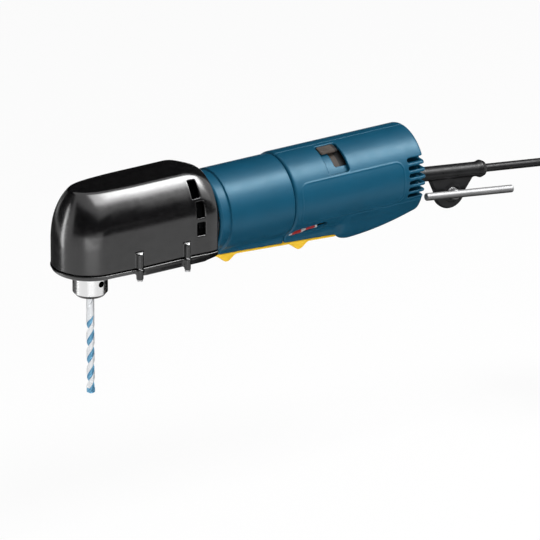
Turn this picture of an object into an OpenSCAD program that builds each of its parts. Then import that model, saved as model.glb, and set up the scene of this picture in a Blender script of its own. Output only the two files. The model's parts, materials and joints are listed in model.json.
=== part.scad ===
// Right angle drill with a keyed chuck, a paddle switch and a mains cord.
// Millimetres. X runs from the chuck to the cord, Z up.
// The origin is the middle of the grip on the motor axis.
// Inside the modules, x is counted from the spindle axis and z from the motor axis.

/* [Head] */
// Radius of the nose around the spindle
head_r = 30.4; // [29:0.1:33]
// Height of the flat crown above the motor axis
head_top = 42; // [41:0.5:46]
// Width of the flat crown
head_top_w = 32; // [26:1:36]
// Reach of the flat crown ahead of the spindle
head_top_front = 13; // [9:0.5:16]
// Spindle axis to the rear rim of the head
head_len = 97; // [95:0.5:102]
// Depth of the parting line below the motor axis
head_seam = 20; // [18:0.5:21]
// Depth of the underside below the motor axis, at the nose
head_depth = 23.3; // [22.5:0.1:25]
// Wall of the cover and of the base
head_wall = 2.4; // [1.8:0.1:2.6]
// Width of an exhaust slot
head_vent_w = 5; // [3:0.5:6]
// Diameter of the screw lugs on the flanks
lug_d = 5.5; // [5:0.1:6.5]

/* [Body] */
// Radius of the front motor housing
tube_r = 32.3; // [31.8:0.1:33]
// Length of the front motor housing
tube_len = 67; // [65:1:72]
// Radius of the rear housing
rear_r = 33.5; // [33:0.1:35]
// Length of the rear housing
rear_len = 115; // [113:1:122]
// Wall of the housings
body_wall = 2.8; // [2:0.1:3]
// Width of the keel under the housings
keel_w = 21; // [19:0.5:24]
// Depth of the belly below the motor axis
belly_depth = 42.5; // [41:0.5:46]
// Width of the belly at its bottom
belly_w = 28; // [26:1:34]
// Number of inlet slots on each side
inlet_count = 6; // [3:1:6]

/* [Motor and gears] */
// Teeth of the motor pinion
pinion_teeth = 9; // [9:1:10]
// Teeth of the intermediate gear
wheel_teeth = 39; // [37:1:40]
// Module of the spur pair
spur_module = 0.75; // [0.7:0.01:0.76]
// Face width of the intermediate gear
wheel_face = 7; // [5:0.5:8]
// Teeth of the bevel pinion
bevel_teeth = 9; // [9:1:10]
// Teeth of the crown gear
crown_teeth = 33; // [30:1:33]
// Module of the bevel pair
bevel_module = 1.2; // [1.1:0.01:1.22]
// Face width of the bevel teeth
bevel_face = 6; // [4:0.5:6.5]
// Diameter of the armature core
armature_d = 34; // [30:0.5:36]
// Length of the armature core
armature_len = 50; // [40:1:52]
// Diameter of the commutator
commutator_d = 24; // [20:0.5:26]
// Number of fan blades
fan_blades = 15; // [9:1:21]

/* [Chuck and bit] */
// Diameter of the chuck nose
nose_d = 27; // [26:0.1:28.5]
// Depth of the chuck face below the motor axis
chuck_depth = 46; // [45:0.5:50]
// Diameter of the key holes
key_hole_d = 5; // [4.6:0.1:5.4]
// Diameter of the drill bit
bit_d = 6; // [3:0.1:6.4]
// Length of bit below the chuck face
bit_reach = 82.3; // [60:0.1:100]
// Slope of the jaws
jaw_slope = 12; // [11:0.5:13]
// Diameter of a jaw
jaw_d = 5.2; // [4.8:0.1:5.4]
// Stroke of the jaws along their bores
jaw_stroke = 9; // [6:0.5:9]

/* [Controls] */
// Length of the paddle
paddle_len = 112; // [108:1:114]
// Length of the front motor housing at which the paddle has that length
paddle_tube = 67; // [65:1:72]
// Strip of paddle that shows below the keel
paddle_show = 2.8; // [2.2:0.1:3.4]
// Turn of the paddle
paddle_turn = 2; // [1:0.1:2.2]
// Turn of the reversing lever
lever_turn = 29; // [20:1:30]
// Travel of the lock slide
lock_travel = 8; // [4:1:10]

/* [Cord and key] */
// Diameter of the cord
cord_d = 6.5; // [6:0.1:6.8]
// Diameter of the strain relief
relief_d = 11.5; // [10.5:0.1:13]
// Length of the strain relief outside the housing
relief_len = 77; // [72:1:80]
// Diameter of the key's cross bar
key_bar_d = 6; // [4.5:0.1:6.5]
// Length of the key's cross bar
key_bar_len = 80; // [70:1:90]
// Pull of the key out of its holder
key_pull = 30; // [24:1:36]

/* [Hidden] */
$fn = 64;
hull_fn = 32;
// Fits: pieces of one body, a shaft in its bearing, and pieces that move past each other
seat_gap = 0.1;
run_gap = 0.05;
move_gap = 0.35;
// Depth by which a cut passes a face
over = 1;
grip_to_spindle = 150;

// Stations along the motor axis, from the spindle
tube_x = head_len;
rear_x = tube_x + tube_len;
end_x = rear_x + rear_len;
edge_r = 4;

// Gear train
tooth_add = 0.8;
tooth_ded = 1.15;
backlash = 0.16;
mid_z = spur_module * (pinion_teeth + wheel_teeth) / 2;
wheel_tip_r = spur_module * (wheel_teeth / 2 + tooth_add);
pinion_tip_r = spur_module * (pinion_teeth / 2 + tooth_add);
crown_r = bevel_module * crown_teeth / 2;
bevel_r = bevel_module * bevel_teeth / 2;
cone_len = sqrt(crown_r * crown_r + bevel_r * bevel_r);
bevel_cone = atan(bevel_teeth / crown_teeth);
crown_out_r = crown_r + bevel_module;
crown_z = mid_z - bevel_r;
crown_floor = crown_z - 5.5;

// Bearings: bore radius, outer radius, width
top_brg = [4, 9.5, 6];
low_brg = [6, 12, 6];
pinion_brg = [4, 9.5, 6];
mid_brg = [3, 7.5, 5];
front_brg = [4, 9.5, 6];
back_brg = [3.5, 9.5, 6];
top_brg_z = mid_z + 9;
low_brg_z = crown_floor - 2 - low_brg[2];
pinion_brg_x = crown_out_r + 5;
fan_room = 29;
plate_t = 9.5;
wheel_gap = 0.8;
gear_end = head_len - fan_room;
plate_x = gear_end - plate_t;
shoulder = 1.5;
wheel_x = plate_x - shoulder - wheel_face;

// Motor
head_floor = head_depth + (rear_r - head_depth) * (gear_end - head_r) / (head_len - over - head_r);
guide_r = head_floor - head_wall - 0.3;
guide_t = 1.6;
fan_x = gear_end + 5;
fan_w = 10;
fan_r = guide_r - guide_t - 0.6;
core_x = tube_x + 7;
winding_end = 10;
stator_gap = 0.5;
stator_r = tube_r - body_wall - seat_gap;
commutator_x = rear_x + 14;
commutator_len = 20;
brush_x = commutator_x + 11;
brush_len = 11;
brush_w = 6;
plate_disc_x = commutator_x + commutator_len + 2;
plate_disc_t = 4;
back_brg_x = plate_disc_x + 20;
sleeve_t = 2;
shaft_r = front_brg[0] - run_gap;

// Chuck, downwards from the lower spindle bearing
chuck_top = low_brg_z - 3;
nose_r = nose_d / 2;
chamfer = 3;
nut_low = chuck_depth - 20.8;
nut_high = chuck_depth - 29.2;
groove_r = nose_r - 1.6;
upper_r = nose_r + 2.7;
sleeve_r = upper_r + 1.8;
sleeve_low = nut_low + 2.9;
sleeve_teeth = 30;
jaw_count = 3;
jaw_foot_r = bit_d / 2 + jaw_d / 2 - 0.6;
jaw_low = chuck_depth - 1;
jaw_len = 27;
mouth_r = bit_d / 2 + 2.4;
mouth_depth = 24;
opening_r = sleeve_r + 0.6;
key_hole_depth = chuck_depth - 11.8;

// Paddle and keel
keel_start = tube_x + 3;
keel_end = rear_x + 44;
keel_rise = 5.1;
keel_front_depth = tube_r + 0.3;
recess_side = 1.6;
recess_w = keel_w - 2 * recess_side;
recess_depth = tube_r - body_wall / 2;
paddle_x = keel_start + 3;
pin_x = paddle_x + 3;
pin_r = 1.25;
pin_depth = keel_front_depth + 1.3;
ear_r = 2.3;

// Lever pocket on the photographed flank: stations and angles above the horizontal
pocket_x = plate_disc_x - 2.5;
pocket_len = 18;
pocket_low = 31;
pocket_high = 77;
shield_r = rear_r - body_wall - move_gap;
shield_t = 1.2;

// Lock slide on the lower flank
lock_x = rear_x + 17.5;
lock_angle = -50;
lock_tilt = 8;
lock_slot_len = 29;
lock_slot_h = 4.4;

function keel_depth(x) = keel_front_depth + keel_rise * (x - keel_start) / (keel_end - keel_start);

// Placement helpers
module placed() { translate([-grip_to_spindle, 0, 0]) children(); }
module along_x(x, z = 0) { translate([x, 0, z]) rotate([0, 90, 0]) children(); }
module rod_x(x, len, r, z = 0, y = 0) { translate([0, y, 0]) along_x(x, z) cylinder(h = len, r = r); }
module rod_y(x, z, y, len, r) { translate([x, y, z]) rotate([-90, 0, 0]) cylinder(h = len, r = r); }
module rod_z(z, len, r) { translate([0, 0, z]) cylinder(h = len, r = r); }
module box(x, y, z) { translate([x[0], y[0], z[0]]) cube([x[1] - x[0], y[1] - y[0], z[1] - z[0]]); }
// A flat outline in x and z, drawn out across the width w about the middle plane
module outline_xz(w) { translate([0, w / 2, 0]) rotate([90, 0, 0]) linear_extrude(w) children(); }
module both_sides() { for (side = [0, 1]) mirror([0, side, 0]) children(); }
// Turns a part from the photographed horizontal up by an angle about the motor axis
module flank(angle) { rotate([-angle, 0, 0]) children(); }

module ring(r_out, r_in, len) {
  difference() {
    cylinder(h = len, r = r_out);
    translate([0, 0, -over]) cylinder(h = len + 2 * over, r = r_in);
  }
}

// Shielded ball bearing, with its two race edges standing proud of the shields
module bearing(size) {
  race = (size[1] - size[0]) / 4;
  recess = 0.4;
  difference() {
    ring(size[1], size[0], size[2]);
    for (z = [-over, size[2] - recess])
      translate([0, 0, z]) ring(size[1] - race, size[0] + race, over + recess);
  }
}

flank_half = head_r + 0.8;
floor_step = 2.8;
floor_back = 12;
waist_z = 12;
shoulder_low = 28;
shoulder_drop = 9;
shoulder_in = 3.5;
rim_depth = 9;
lug_drop = 5;
screw_head = 1.6;
// Head: nose cylinder, straight flanks, sloping front, flat crown and a round rear rim
module head_form(inset) {
  crown_len = head_len - 17 + head_top_front;
  crown_corner = 8;
  hull() {
    translate([0, 0, inset - head_depth])
      cylinder(h = head_depth + waist_z - 2 * inset, r = head_r - inset, $fn = 2 * hull_fn);
    rod_x(head_len - over, over, rear_r - inset, $fn = 2 * hull_fn);
    for (x = [crown_corner - head_top_front, crown_len - head_top_front - crown_corner], side = [-1, 1])
      translate([x, side * (head_top_w / 2 - crown_corner / 2), head_top - inset - over])
        cylinder(h = over, r = crown_corner - inset, $fn = hull_fn);
    box([8, head_len - 20], [-head_r + shoulder_in + inset, head_r - shoulder_in - inset],
      [shoulder_low, head_top - shoulder_drop - inset]);
    box([4, head_len - floor_back], [-flank_half + inset, flank_half - inset], [-head_depth + inset, waist_z]);
  }
}

module head_lugs(z_low, z_high) {
  both_sides() {
    translate([head_r - 5.4, -head_r - 1.2, z_low]) cylinder(h = z_high - z_low, d = lug_d);
    translate([head_len - 30, -head_r - 1.8, z_low - 1]) cylinder(h = z_high - z_low + 1, d = lug_d - 0.6);
  }
}

screw_r = 1.5;
lug_top = 7.5;
rim_r = rear_r - head_wall + 0.4;
module lug_screws(r, z_low, z_high) {
  both_sides() {
    translate([head_r - 5.4, -head_r - 1.2, z_low]) cylinder(h = z_high - z_low, r = r);
    translate([head_len - 30, -head_r - 1.8, z_low - 1]) cylinder(h = z_high - z_low, r = r);
  }
}

// Exhaust slots beside the fan, three on each flank, cut inwards to a radius
vent_x = fan_x + 3;
vent_h = 12;
module exhaust_slots(r_in, tall) {
  both_sides() for (angle = [1, 28, 53]) flank(angle)
    box([vent_x, vent_x + head_vent_w], [-rear_r - vent_h, -r_in], [-tall / 2, tall / 2]);
}

module head_cover() {
  color("#26282a") difference() {
    union() {
      head_form(0);
      head_lugs(-head_seam, -lug_top);
    }
    head_form(head_wall);
    box([-rear_r - over, head_len + over], [-2 * rear_r, 2 * rear_r], [-2 * rear_r, -head_seam]);
    rod_x(head_len - rim_depth, rim_depth + over, rim_r);
    exhaust_slots(guide_r, vent_h);
    lug_screws(screw_r + seat_gap, -2 * rear_r, -lug_top + 0.6);
  }
}

module head_base() {
  color("#2c2e30") difference() {
    union() {
      head_form(0);
      head_lugs(-head_depth - lug_drop, -head_seam);
      box([head_r - 3, head_len - floor_back], [-head_r, head_r],
        [-head_depth - floor_step, -head_depth + over]);
    }
    difference() {
      head_form(head_wall);
      rod_z(-2 * rear_r, 2 * rear_r - head_seam + over, opening_r + head_wall);
    }
    box([-rear_r - over, head_len + over], [-2 * rear_r, 2 * rear_r], [-head_seam - seat_gap, 2 * head_top]);
    rod_z(-2 * rear_r, 4 * rear_r, opening_r);
    rod_x(head_len - rim_depth, rim_depth + over, rim_r);
    lug_screws(screw_r + seat_gap, -2 * rear_r, -lug_top + 0.6);
  }
}

module head_screws() {
  color("#b8bcc0") {
    lug_screws(screw_r, -head_depth - lug_drop - screw_head / 2, -lug_top + seat_gap);
    lug_screws(lug_d / 2 - 0.6, -head_depth - lug_drop - screw_head, -head_depth - lug_drop - seat_gap);
  }
}

// Cast gear case: fills the head up to the rear gear plate
module gear_case() {
  color("#9a9ea2") difference() {
    intersection() {
      head_form(head_wall + seat_gap);
      box([-2 * rear_r, gear_end], [-2 * rear_r, 2 * rear_r], [-head_seam + 2, 2 * head_top]);
    }
    rod_z(-2 * rear_r, 2 * rear_r + chuck_top + shoulder, opening_r + 0.6);
    rod_z(chuck_top, top_brg_z - chuck_top, crown_out_r + 1.6);
    rod_z(top_brg_z - over, top_brg[2] + over, top_brg[1] + seat_gap);
    rod_z(top_brg_z, top_brg[2] + 3, top_brg[0] + 1.5);
    rod_x(0, pinion_brg_x + over, bevel_r + 3, mid_z);
    rod_x(pinion_brg_x, pinion_brg[2], pinion_brg[1] + seat_gap, mid_z);
    rod_x(pinion_brg_x, wheel_x - pinion_brg_x, pinion_brg[0] + 2, mid_z);
    rod_x(wheel_x - wheel_gap, gear_end, wheel_tip_r + 1.2, mid_z);
    rod_x(wheel_x - wheel_gap, gear_end, front_brg[1] + 2.5);
  }
}

// Flange under the crown gear, with the lower bearing
module bearing_plate() {
  color("#8f9397") difference() {
    rod_z(chuck_top + seat_gap, crown_floor - shoulder - chuck_top - seat_gap, crown_out_r + 1.6 - seat_gap);
    rod_z(low_brg_z - seat_gap, 2 * low_brg[2], low_brg[1] + seat_gap);
    rod_z(chuck_top - over, 2 * low_brg[2], low_brg[0] + 1);
  }
}

// Rear closing plate of the gear case, with the intermediate and the motor bearing
module gear_plate() {
  color("#8f9397") difference() {
    union() {
      rod_x(plate_x, plate_t, wheel_tip_r + 1.2 - seat_gap, mid_z);
      rod_x(plate_x, plate_t, front_brg[1] + 2.5 - seat_gap);
    }
    rod_x(plate_x - over, mid_brg[2] + over + shoulder, mid_brg[1] + seat_gap, mid_z);
    rod_x(plate_x + shoulder, plate_t, front_brg[1] + seat_gap);
    rod_x(plate_x - over, 2 * plate_t, pinion_tip_r + 0.8);
  }
}

// Ring that leads the fan's air from the motor to the exhaust slots
module air_guide() {
  color("#3a3c3e") difference() {
    union() {
      along_x(gear_end + seat_gap) ring(guide_r, guide_r - guide_t, tube_x - gear_end - 2 * seat_gap);
      along_x(tube_x - 8.6) ring(rim_r - seat_gap, guide_r - guide_t, 8.6 - seat_gap);
    }
    exhaust_slots(guide_r - 3 * guide_t, 0.75 * vent_h);
  }
}

// Keel outline between two stations; the bottom edge falls steadily to the rear
module keel(x_from, x_to) {
  outline_xz(keel_w) polygon([
    [x_from, -tube_r / 2], [x_to, -tube_r / 2],
    [x_to, -keel_depth(x_to)], [x_from, -keel_depth(x_from)]]);
}

// Trough in the keel that takes the paddle
module paddle_recess() {
  box([keel_start + 1, keel_end + 9], [-recess_w / 2, recess_w / 2], [-2 * rear_r, -recess_depth]);
}

// In the rear shells the trough opens into the housing
module open_trough() {
  box([rear_x - over, keel_end + 9], [-recess_w / 2, recess_w / 2], [-2 * rear_r, -rear_r + 8]);
}

module motor_housing() {
  collar_len = 10;
  color("#1d5b80") difference() {
    union() {
      rod_x(tube_x, tube_len - seat_gap, tube_r);
      rod_x(tube_x, collar_len, tube_r + 0.7);
      keel(keel_start, rear_x - seat_gap);
      rod_y(pin_x, -pin_depth, -keel_w / 2, keel_w, ear_r);
    }
    rod_x(tube_x - over, tube_len + 2 * over, tube_r - body_wall);
    paddle_recess();
    rod_y(pin_x, -pin_depth, -rear_r, 2 * rear_r, pin_r + seat_gap);
  }
}

// Rear housing: drum with a rounded rear edge, belly and keel
module rear_form(inset) {
  r = rear_r - inset;
  x_from = inset > 0 ? rear_x - over : rear_x;
  x_to = end_x - inset;
  belly_x = rear_x + 49;
  rod_x(x_from, x_to - edge_r - x_from, r);
  rod_x(x_from, x_to - x_from, r - edge_r);
  along_x(x_to - edge_r) rotate_extrude() translate([r - edge_r, 0]) circle(edge_r);
  hull() {
    rod_x(rear_x + 41 + inset, 70 - 2 * inset, 0.97 * r, $fn = hull_fn);
    for (x = [belly_x + 4, belly_x + 27], side = [-1, 1])
      translate([x, side * (belly_w / 2 - 4), -belly_depth + inset])
        cylinder(h = 4, r = 4 - inset / 2, $fn = hull_fn);
  }
}

// Six slots that wrap the rear edge on each side
module inlets() {
  pitch = 5.7;
  slot_h = 3.2;
  top = 15.4;
  both_sides() for (i = [0 : inlet_count - 1])
    box([end_x - 14, end_x + over], [-2 * rear_r, -rear_r + 11], [top - i * pitch - slot_h, top - i * pitch]);
}

// Shallow side panel with round corners
module side_panel() {
  depth = 0.5;
  corner = 6;
  half_h = 16;
  from = rear_x + 6;
  length = rear_len - 28;
  both_sides() difference() {
    translate([0, -rear_r / 2, 0]) rotate([90, 0, 0]) linear_extrude(rear_r) union() {
      translate([from + corner, -half_h]) square([length - 2 * corner, 2 * half_h]);
      translate([from, -half_h + corner]) square([length, 2 * (half_h - corner)]);
      for (x = [corner, length - corner], z = [-1, 1])
        translate([from + x, z * (half_h - corner)]) circle(corner);
    }
    rod_x(rear_x, rear_len, rear_r - depth);
  }
}

// Window of the reversing lever: a wedge of the drum between two angles
module pocket_window() {
  reach = 2 * rear_r;
  intersection() {
    box([pocket_x, pocket_x + pocket_len], [-reach, 0], [0, reach]);
    wedge(pocket_low, pocket_high);
    along_x(0) ring(reach, shield_r - 2, 2 * end_x);
  }
}

module lock_place() {
  translate([lock_x, 0, 0]) flank(lock_angle) rotate([0, -lock_tilt, 0]) children();
}

module lock_slot() {
  reach = 9;
  lock_place() box([-lock_slot_len / 2, lock_slot_len / 2], [-rear_r - reach, -rear_r + reach],
    [-lock_slot_h / 2, lock_slot_h / 2]);
}

// Screws that join the two rear shells: station and height
shell_screw_at = [[rear_x + 16, 24], [end_x - 15, 22.5], [end_x - 15, -21.5]];
boss_r = 3.6;
shell_screw_r = 1.6;
relief_z = -10;
relief_droop = 6.7;
relief_root = 12;
relief_neck_r = relief_d / 2 - 0.6;
bridge_y = back_brg[1] + sleeve_t;

module relief_place() { translate([end_x, 0, relief_z]) rotate([0, relief_droop, 0]) children(); }

// One half of the rear housing; side -1 is the photographed half
module rear_shell(side) {
  far = 3 * rear_r;
  half_gap = seat_gap / 2;
  intersection() {
    difference() {
      union() {
        difference() {
          union() {
            rear_form(0);
            keel(rear_x, keel_end);
          }
          rear_form(body_wall);
        }
        intersection() {
          rear_form(body_wall / 2);
          union() {
            for (at = shell_screw_at) rod_y(at[0], at[1], -far, 2 * far, boss_r);
            along_x(back_brg_x - 1) cylinder(h = back_brg[2] + 2, r = bridge_y + 3);
            box([back_brg_x + 1, back_brg_x + 5], [-far, far], [-5, 5]);
            intersection() {
              along_x(plate_disc_x - 3) ring(rear_r, disc_r - 4, 2.6);
              box([0, end_x], [-far, far], [-far, -2]);
            }
            box([end_x - 9, end_x - 1], [-10, 10], [relief_z - 9, relief_z + 9]);
            both_sides()
              box([end_x + clamp_from, end_x + clamp_to], [-far, -clamp_half - 0.3],
                [relief_z - 3, relief_z + 8]);
          }
        }
      }
      open_trough();
      inlets();
      side_panel();
      for (at = shell_screw_at) {
        rod_y(at[0], at[1], -8, far, shell_screw_r + seat_gap);
        rod_y(at[0], at[1], 13, far, boss_r - 0.7);
      }
      rod_x(back_brg_x - seat_gap, back_brg[2] + 2 * seat_gap, bridge_y + seat_gap);
      rod_x(back_brg_x - 2, back_brg[2] + 4, bridge_y - 2);
      relief_place() along_x(-relief_root) {
        cylinder(h = 2 * relief_root, r = relief_neck_r + seat_gap);
        translate([0, 0, 4 - seat_gap]) cylinder(h = 4 + 2 * seat_gap, r = relief_neck_r + 2.5 + seat_gap);
      }
      if (side < 0) {
        pocket_window();
        lock_slot();
      }
    }
    box([0, 2 * end_x], side < 0 ? [-far, -half_gap] : [half_gap, far], [-far, far]);
  }
}

module rear_shell_left() { color("#1d5b80") rear_shell(-1); }
module rear_shell_right() { color("#1d5b80") rear_shell(1); }

module shell_screws() {
  color("#8a8d90") for (at = shell_screw_at) {
    rod_y(at[0], at[1], -7.5, 21, shell_screw_r);
    rod_y(at[0], at[1], 13 + seat_gap, 2.4, boss_r - 0.7 - seat_gap);
  }
}

// Involute half thickness of a tooth at radius r, for a gear of pitch radius pitch_r
pressure = 25;
function involute(a) = tan(a) * 180 / PI - a;
function tooth_half_angle(pitch_r, m, r) =
  (PI * m / 4 - backlash / 2) / pitch_r * 180 / PI + involute(pressure)
  - involute(acos(min(1, pitch_r * cos(pressure) / r)));
flank_steps = 3;
function flank_radii(pitch_r, m) =
  let (low = pitch_r - tooth_ded * m, high = pitch_r + tooth_add * m,
    start = min(high, max(low, pitch_r * cos(pressure))))
  concat([low], [for (i = [0 : flank_steps]) start + (high - start) * i / flank_steps + 0.001]);

module spur_outline(teeth, phase) {
  pitch_r = spur_module * teeth / 2;
  radii = flank_radii(pitch_r, spur_module);
  last = len(radii) - 1;
  polygon([for (k = [0 : teeth - 1], i = [0 : 2 * last + 1])
    let (r = i <= last ? radii[i] : radii[2 * last + 1 - i],
      half = tooth_half_angle(pitch_r, spur_module, r),
      angle = phase + 360 * k / teeth + (i <= last ? -half : half))
    [r * cos(angle), r * sin(angle)]]);
}

// Straight bevel teeth around +Z, running towards the apex at the origin
module bevel_ring(teeth, cone, phase) {
  virtual_r = bevel_module * teeth / 2 / cos(cone);
  radii = flank_radii(virtual_r, bevel_module);
  sink = 0.4;
  last = len(radii) - 1;
  points = concat(
    [[-tooth_ded * bevel_module - sink, -radii[0] * sin(tooth_half_angle(virtual_r, bevel_module, radii[0]))]],
    [for (i = [0 : 2 * last + 1])
      let (r = i <= last ? radii[i] : radii[2 * last + 1 - i],
        half = r * sin(tooth_half_angle(virtual_r, bevel_module, r)))
      [r - virtual_r, i <= last ? -half : half]],
    [[-tooth_ded * bevel_module - sink, radii[0] * sin(tooth_half_angle(virtual_r, bevel_module, radii[0]))]]);
  for (k = [0 : teeth - 1])
    rotate([0, 0, phase + 360 * k / teeth]) rotate([0, cone, 0])
      translate([0, 0, cone_len]) rotate([180, 0, 0])
      linear_extrude(bevel_face, scale = (cone_len - bevel_face) / cone_len) polygon(points);
}

face_share = (cone_len - bevel_face) / cone_len;
bevel_drop = tooth_ded * bevel_module;
crown_root_r = crown_r - bevel_drop * sin(bevel_cone);
crown_root_z = crown_z - bevel_drop * cos(bevel_cone);
crown_inner_z = mid_z - (mid_z - crown_root_z) * face_share;
crown_seat_r = low_brg[0] - 0.5;

module crown_gear() {
  color("#6f7276") difference() {
    union() {
      rotate_extrude() polygon([
        [0, crown_floor], [crown_r + 0.4, crown_floor], [crown_root_r, crown_root_z],
        [crown_root_r * face_share, crown_inner_z], [0, crown_inner_z]]);
      translate([0, 0, mid_z]) rotate([180, 0, 0]) bevel_ring(crown_teeth, 90 - bevel_cone, 180 / crown_teeth);
    }
    rod_z(0, 2 * mid_z, crown_seat_r + seat_gap);
  }
}

module spindle() {
  thread_len = 12;
  color("#7d8084") difference() {
    union() {
      rod_z(chuck_top - thread_len, thread_len + over, low_brg[0] - 1);
      rod_z(chuck_top, crown_floor - chuck_top, low_brg[0] - run_gap);
      rod_z(crown_floor, crown_inner_z - crown_floor + 1, crown_seat_r);
      rod_z(crown_floor, top_brg_z + top_brg[2] + 2.6 - crown_floor, top_brg[0] - run_gap);
    }
    translate([0, 0, top_brg_z + top_brg[2] + 0.3]) ring(2 * top_brg[0], top_brg[0] - 0.6, 1.2);
  }
}

module spindle_circlip() {
  color("#55585c") translate([0, 0, top_brg_z + top_brg[2] + 0.4]) difference() {
    ring(top_brg[0] + 1.2, top_brg[0] - 0.5, 1);
    box([0, 2 * top_brg[0]], [-1.2, 1.2], [-over, 2]);
  }
}

module spindle_upper_bearing() { color("#c4c7ca") translate([0, 0, top_brg_z]) bearing(top_brg); }
module spindle_lower_bearing() { color("#c4c7ca") translate([0, 0, low_brg_z]) bearing(low_brg); }
module pinion_bearing() { color("#c4c7ca") along_x(pinion_brg_x, mid_z) bearing(pinion_brg); }
module intermediate_bearing() { color("#c4c7ca") along_x(plate_x + shoulder, mid_z) bearing(mid_brg); }
module armature_front_bearing() { color("#c4c7ca") along_x(plate_x + shoulder, 0) bearing(front_brg); }
module armature_rear_bearing() { color("#c4c7ca") along_x(back_brg_x, 0) bearing(back_brg); }

module rear_bearing_sleeve() {
  color("#2b2b2b") along_x(back_brg_x) ring(bridge_y, back_brg[1] + seat_gap, back_brg[2]);
}

module bevel_pinion_shaft() {
  start = (cone_len - bevel_face) * cos(bevel_cone);
  root = bevel_r - bevel_drop * cos(bevel_cone);
  finish = cone_len * cos(bevel_cone);
  color("#6f7276") {
    along_x(start, mid_z) cylinder(h = finish - start, r1 = root * face_share, r2 = root);
    translate([0, 0, mid_z]) rotate([0, 90, 0]) bevel_ring(bevel_teeth, bevel_cone, 0);
    rod_x(crown_out_r + 0.4, pinion_brg_x - crown_out_r - 0.6, bevel_r + 0.4, mid_z);
    rod_x(finish, wheel_x + wheel_face - finish, pinion_brg[0] - run_gap, mid_z);
    rod_x(finish, plate_x + shoulder + mid_brg[2] - finish - 0.3, mid_brg[0] - run_gap, mid_z);
  }
}

module intermediate_gear() {
  color("#84878b") along_x(wheel_x, mid_z) difference() {
    linear_extrude(wheel_face) spur_outline(wheel_teeth, 0);
    translate([0, 0, -over]) cylinder(h = wheel_face + 2 * over, r = pinion_brg[0] + seat_gap);
    for (z = [-over, wheel_face - 1.5])
      translate([0, 0, z]) ring(wheel_tip_r - 4, pinion_brg[0] + 3, 1.5 + over);
  }
}

module armature_shaft() {
  tail = back_brg_x + back_brg[2] + 1;
  color("#7d8084") {
    along_x(wheel_x - 0.5) linear_extrude(wheel_face + 1.2)
      spur_outline(pinion_teeth, 180 - 180 / pinion_teeth);
    rod_x(wheel_x - 0.5, wheel_face + 4, spur_module * (pinion_teeth / 2 - tooth_ded));
    rod_x(plate_x + shoulder, fan_x - plate_x, shaft_r);
    rod_x(fan_x, back_brg_x - fan_x - 0.4, shaft_r + 0.5);
    rod_x(fan_x, tail - fan_x, back_brg[0] - run_gap);
  }
}

// Slotted armature core
module armature_core() {
  slots = 12;
  color("#5f6266") along_x(core_x) difference() {
    cylinder(h = armature_len, d = armature_d);
    translate([0, 0, -over]) cylinder(h = armature_len + 2 * over, r = shaft_r + 0.5 + seat_gap);
    for (k = [0 : slots - 1]) rotate([0, 0, 360 * k / slots])
      box([armature_d / 2 - 3, armature_d / 2 + over], [-0.9, 0.9], [-over, armature_len + over]);
  }
}

// End turns of the armature on both sides of the core
module armature_winding() {
  color("#a5592a") for (x = [core_x - winding_end, core_x + armature_len + seat_gap]) along_x(x) difference() {
    union() {
      translate([0, 0, 2]) cylinder(h = winding_end - 4 - seat_gap, d = armature_d - 3);
      cylinder(h = winding_end - seat_gap, d = armature_d - 8);
    }
    translate([0, 0, -over]) cylinder(h = 2 * winding_end, r = shaft_r + 0.5 + seat_gap);
  }
}

module commutator() {
  bars = 24;
  color("#b8743c") along_x(commutator_x) difference() {
    union() {
      cylinder(h = commutator_len, d = commutator_d);
      cylinder(h = 3, d = commutator_d + 3);
    }
    translate([0, 0, -over]) cylinder(h = 2 * commutator_len, r = shaft_r + 0.5 + seat_gap);
    for (k = [0 : bars - 1]) rotate([0, 0, 360 * k / bars])
      box([commutator_d / 2 - 0.8, commutator_d], [-0.25, 0.25], [3.5, commutator_len + over]);
  }
}

module cooling_fan() {
  disc = 2;
  hub_r = shaft_r + 3.5;
  color("#d8d4c6") along_x(fan_x) difference() {
    union() {
      translate([0, 0, fan_w - disc]) cylinder(h = disc, r = fan_r);
      cylinder(h = fan_w, r = hub_r);
      for (k = [0 : fan_blades - 1]) rotate([0, 0, 360 * k / fan_blades])
        translate([hub_r + 5, 0, 0]) rotate([0, 0, 25])
          box([0, (fan_r - hub_r - 5) * 0.9], [-0.7, 0.7], [0, fan_w]);
    }
    translate([0, 0, -over]) cylinder(h = 2 * fan_w, r = shaft_r + 0.5 + seat_gap);
    translate([0, 0, -over]) ring(2 * fan_r, fan_r, 2 * fan_w);
  }
}

// Two pole stator: round outside, flat sides, pole bore
stator_len = armature_len - 4;
stator_x = core_x + 2;
pole_r = armature_d / 2 + stator_gap;
coil_slot_r = stator_r - 3.4;
coil_slot_h = 11;

module stator_core() {
  color("#6b6e72") along_x(stator_x) difference() {
    cylinder(h = stator_len, r = stator_r);
    translate([0, 0, -over]) cylinder(h = stator_len + 2 * over, r = pole_r);
    translate([0, 0, -over]) coil_slots(0, stator_len + 2 * over);
  }
}

// Winding spaces left and right of each pole, in the stator's own section
module coil_slots(inset, len) {
  intersection() {
    ring(coil_slot_r - inset, pole_r + 2 + inset, len);
    union() {
      for (side = [-1, 1], up = [-1, 1])
        translate([up * (coil_slot_h / 2 + 2), side * stator_r / 2, len / 2])
          cube([coil_slot_h - 2 * inset, stator_r, len], center = true);
    }
  }
}

module field_coils() {
  reach = 8;
  color("#b0622e") along_x(stator_x - reach) {
    coil_slots(0.3, stator_len + 2 * reach);
    for (z = [0, stator_len + reach + 1], up = [-1, 1]) translate([0, 0, z]) intersection() {
      ring(coil_slot_r - 0.3, pole_r + 2.3, reach - 1);
      translate([up > 0 ? 2.3 : -2 * stator_r - 2.3, -stator_r, 0]) cube([2 * stator_r, 2 * stator_r, reach]);
    }
  }
}

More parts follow.
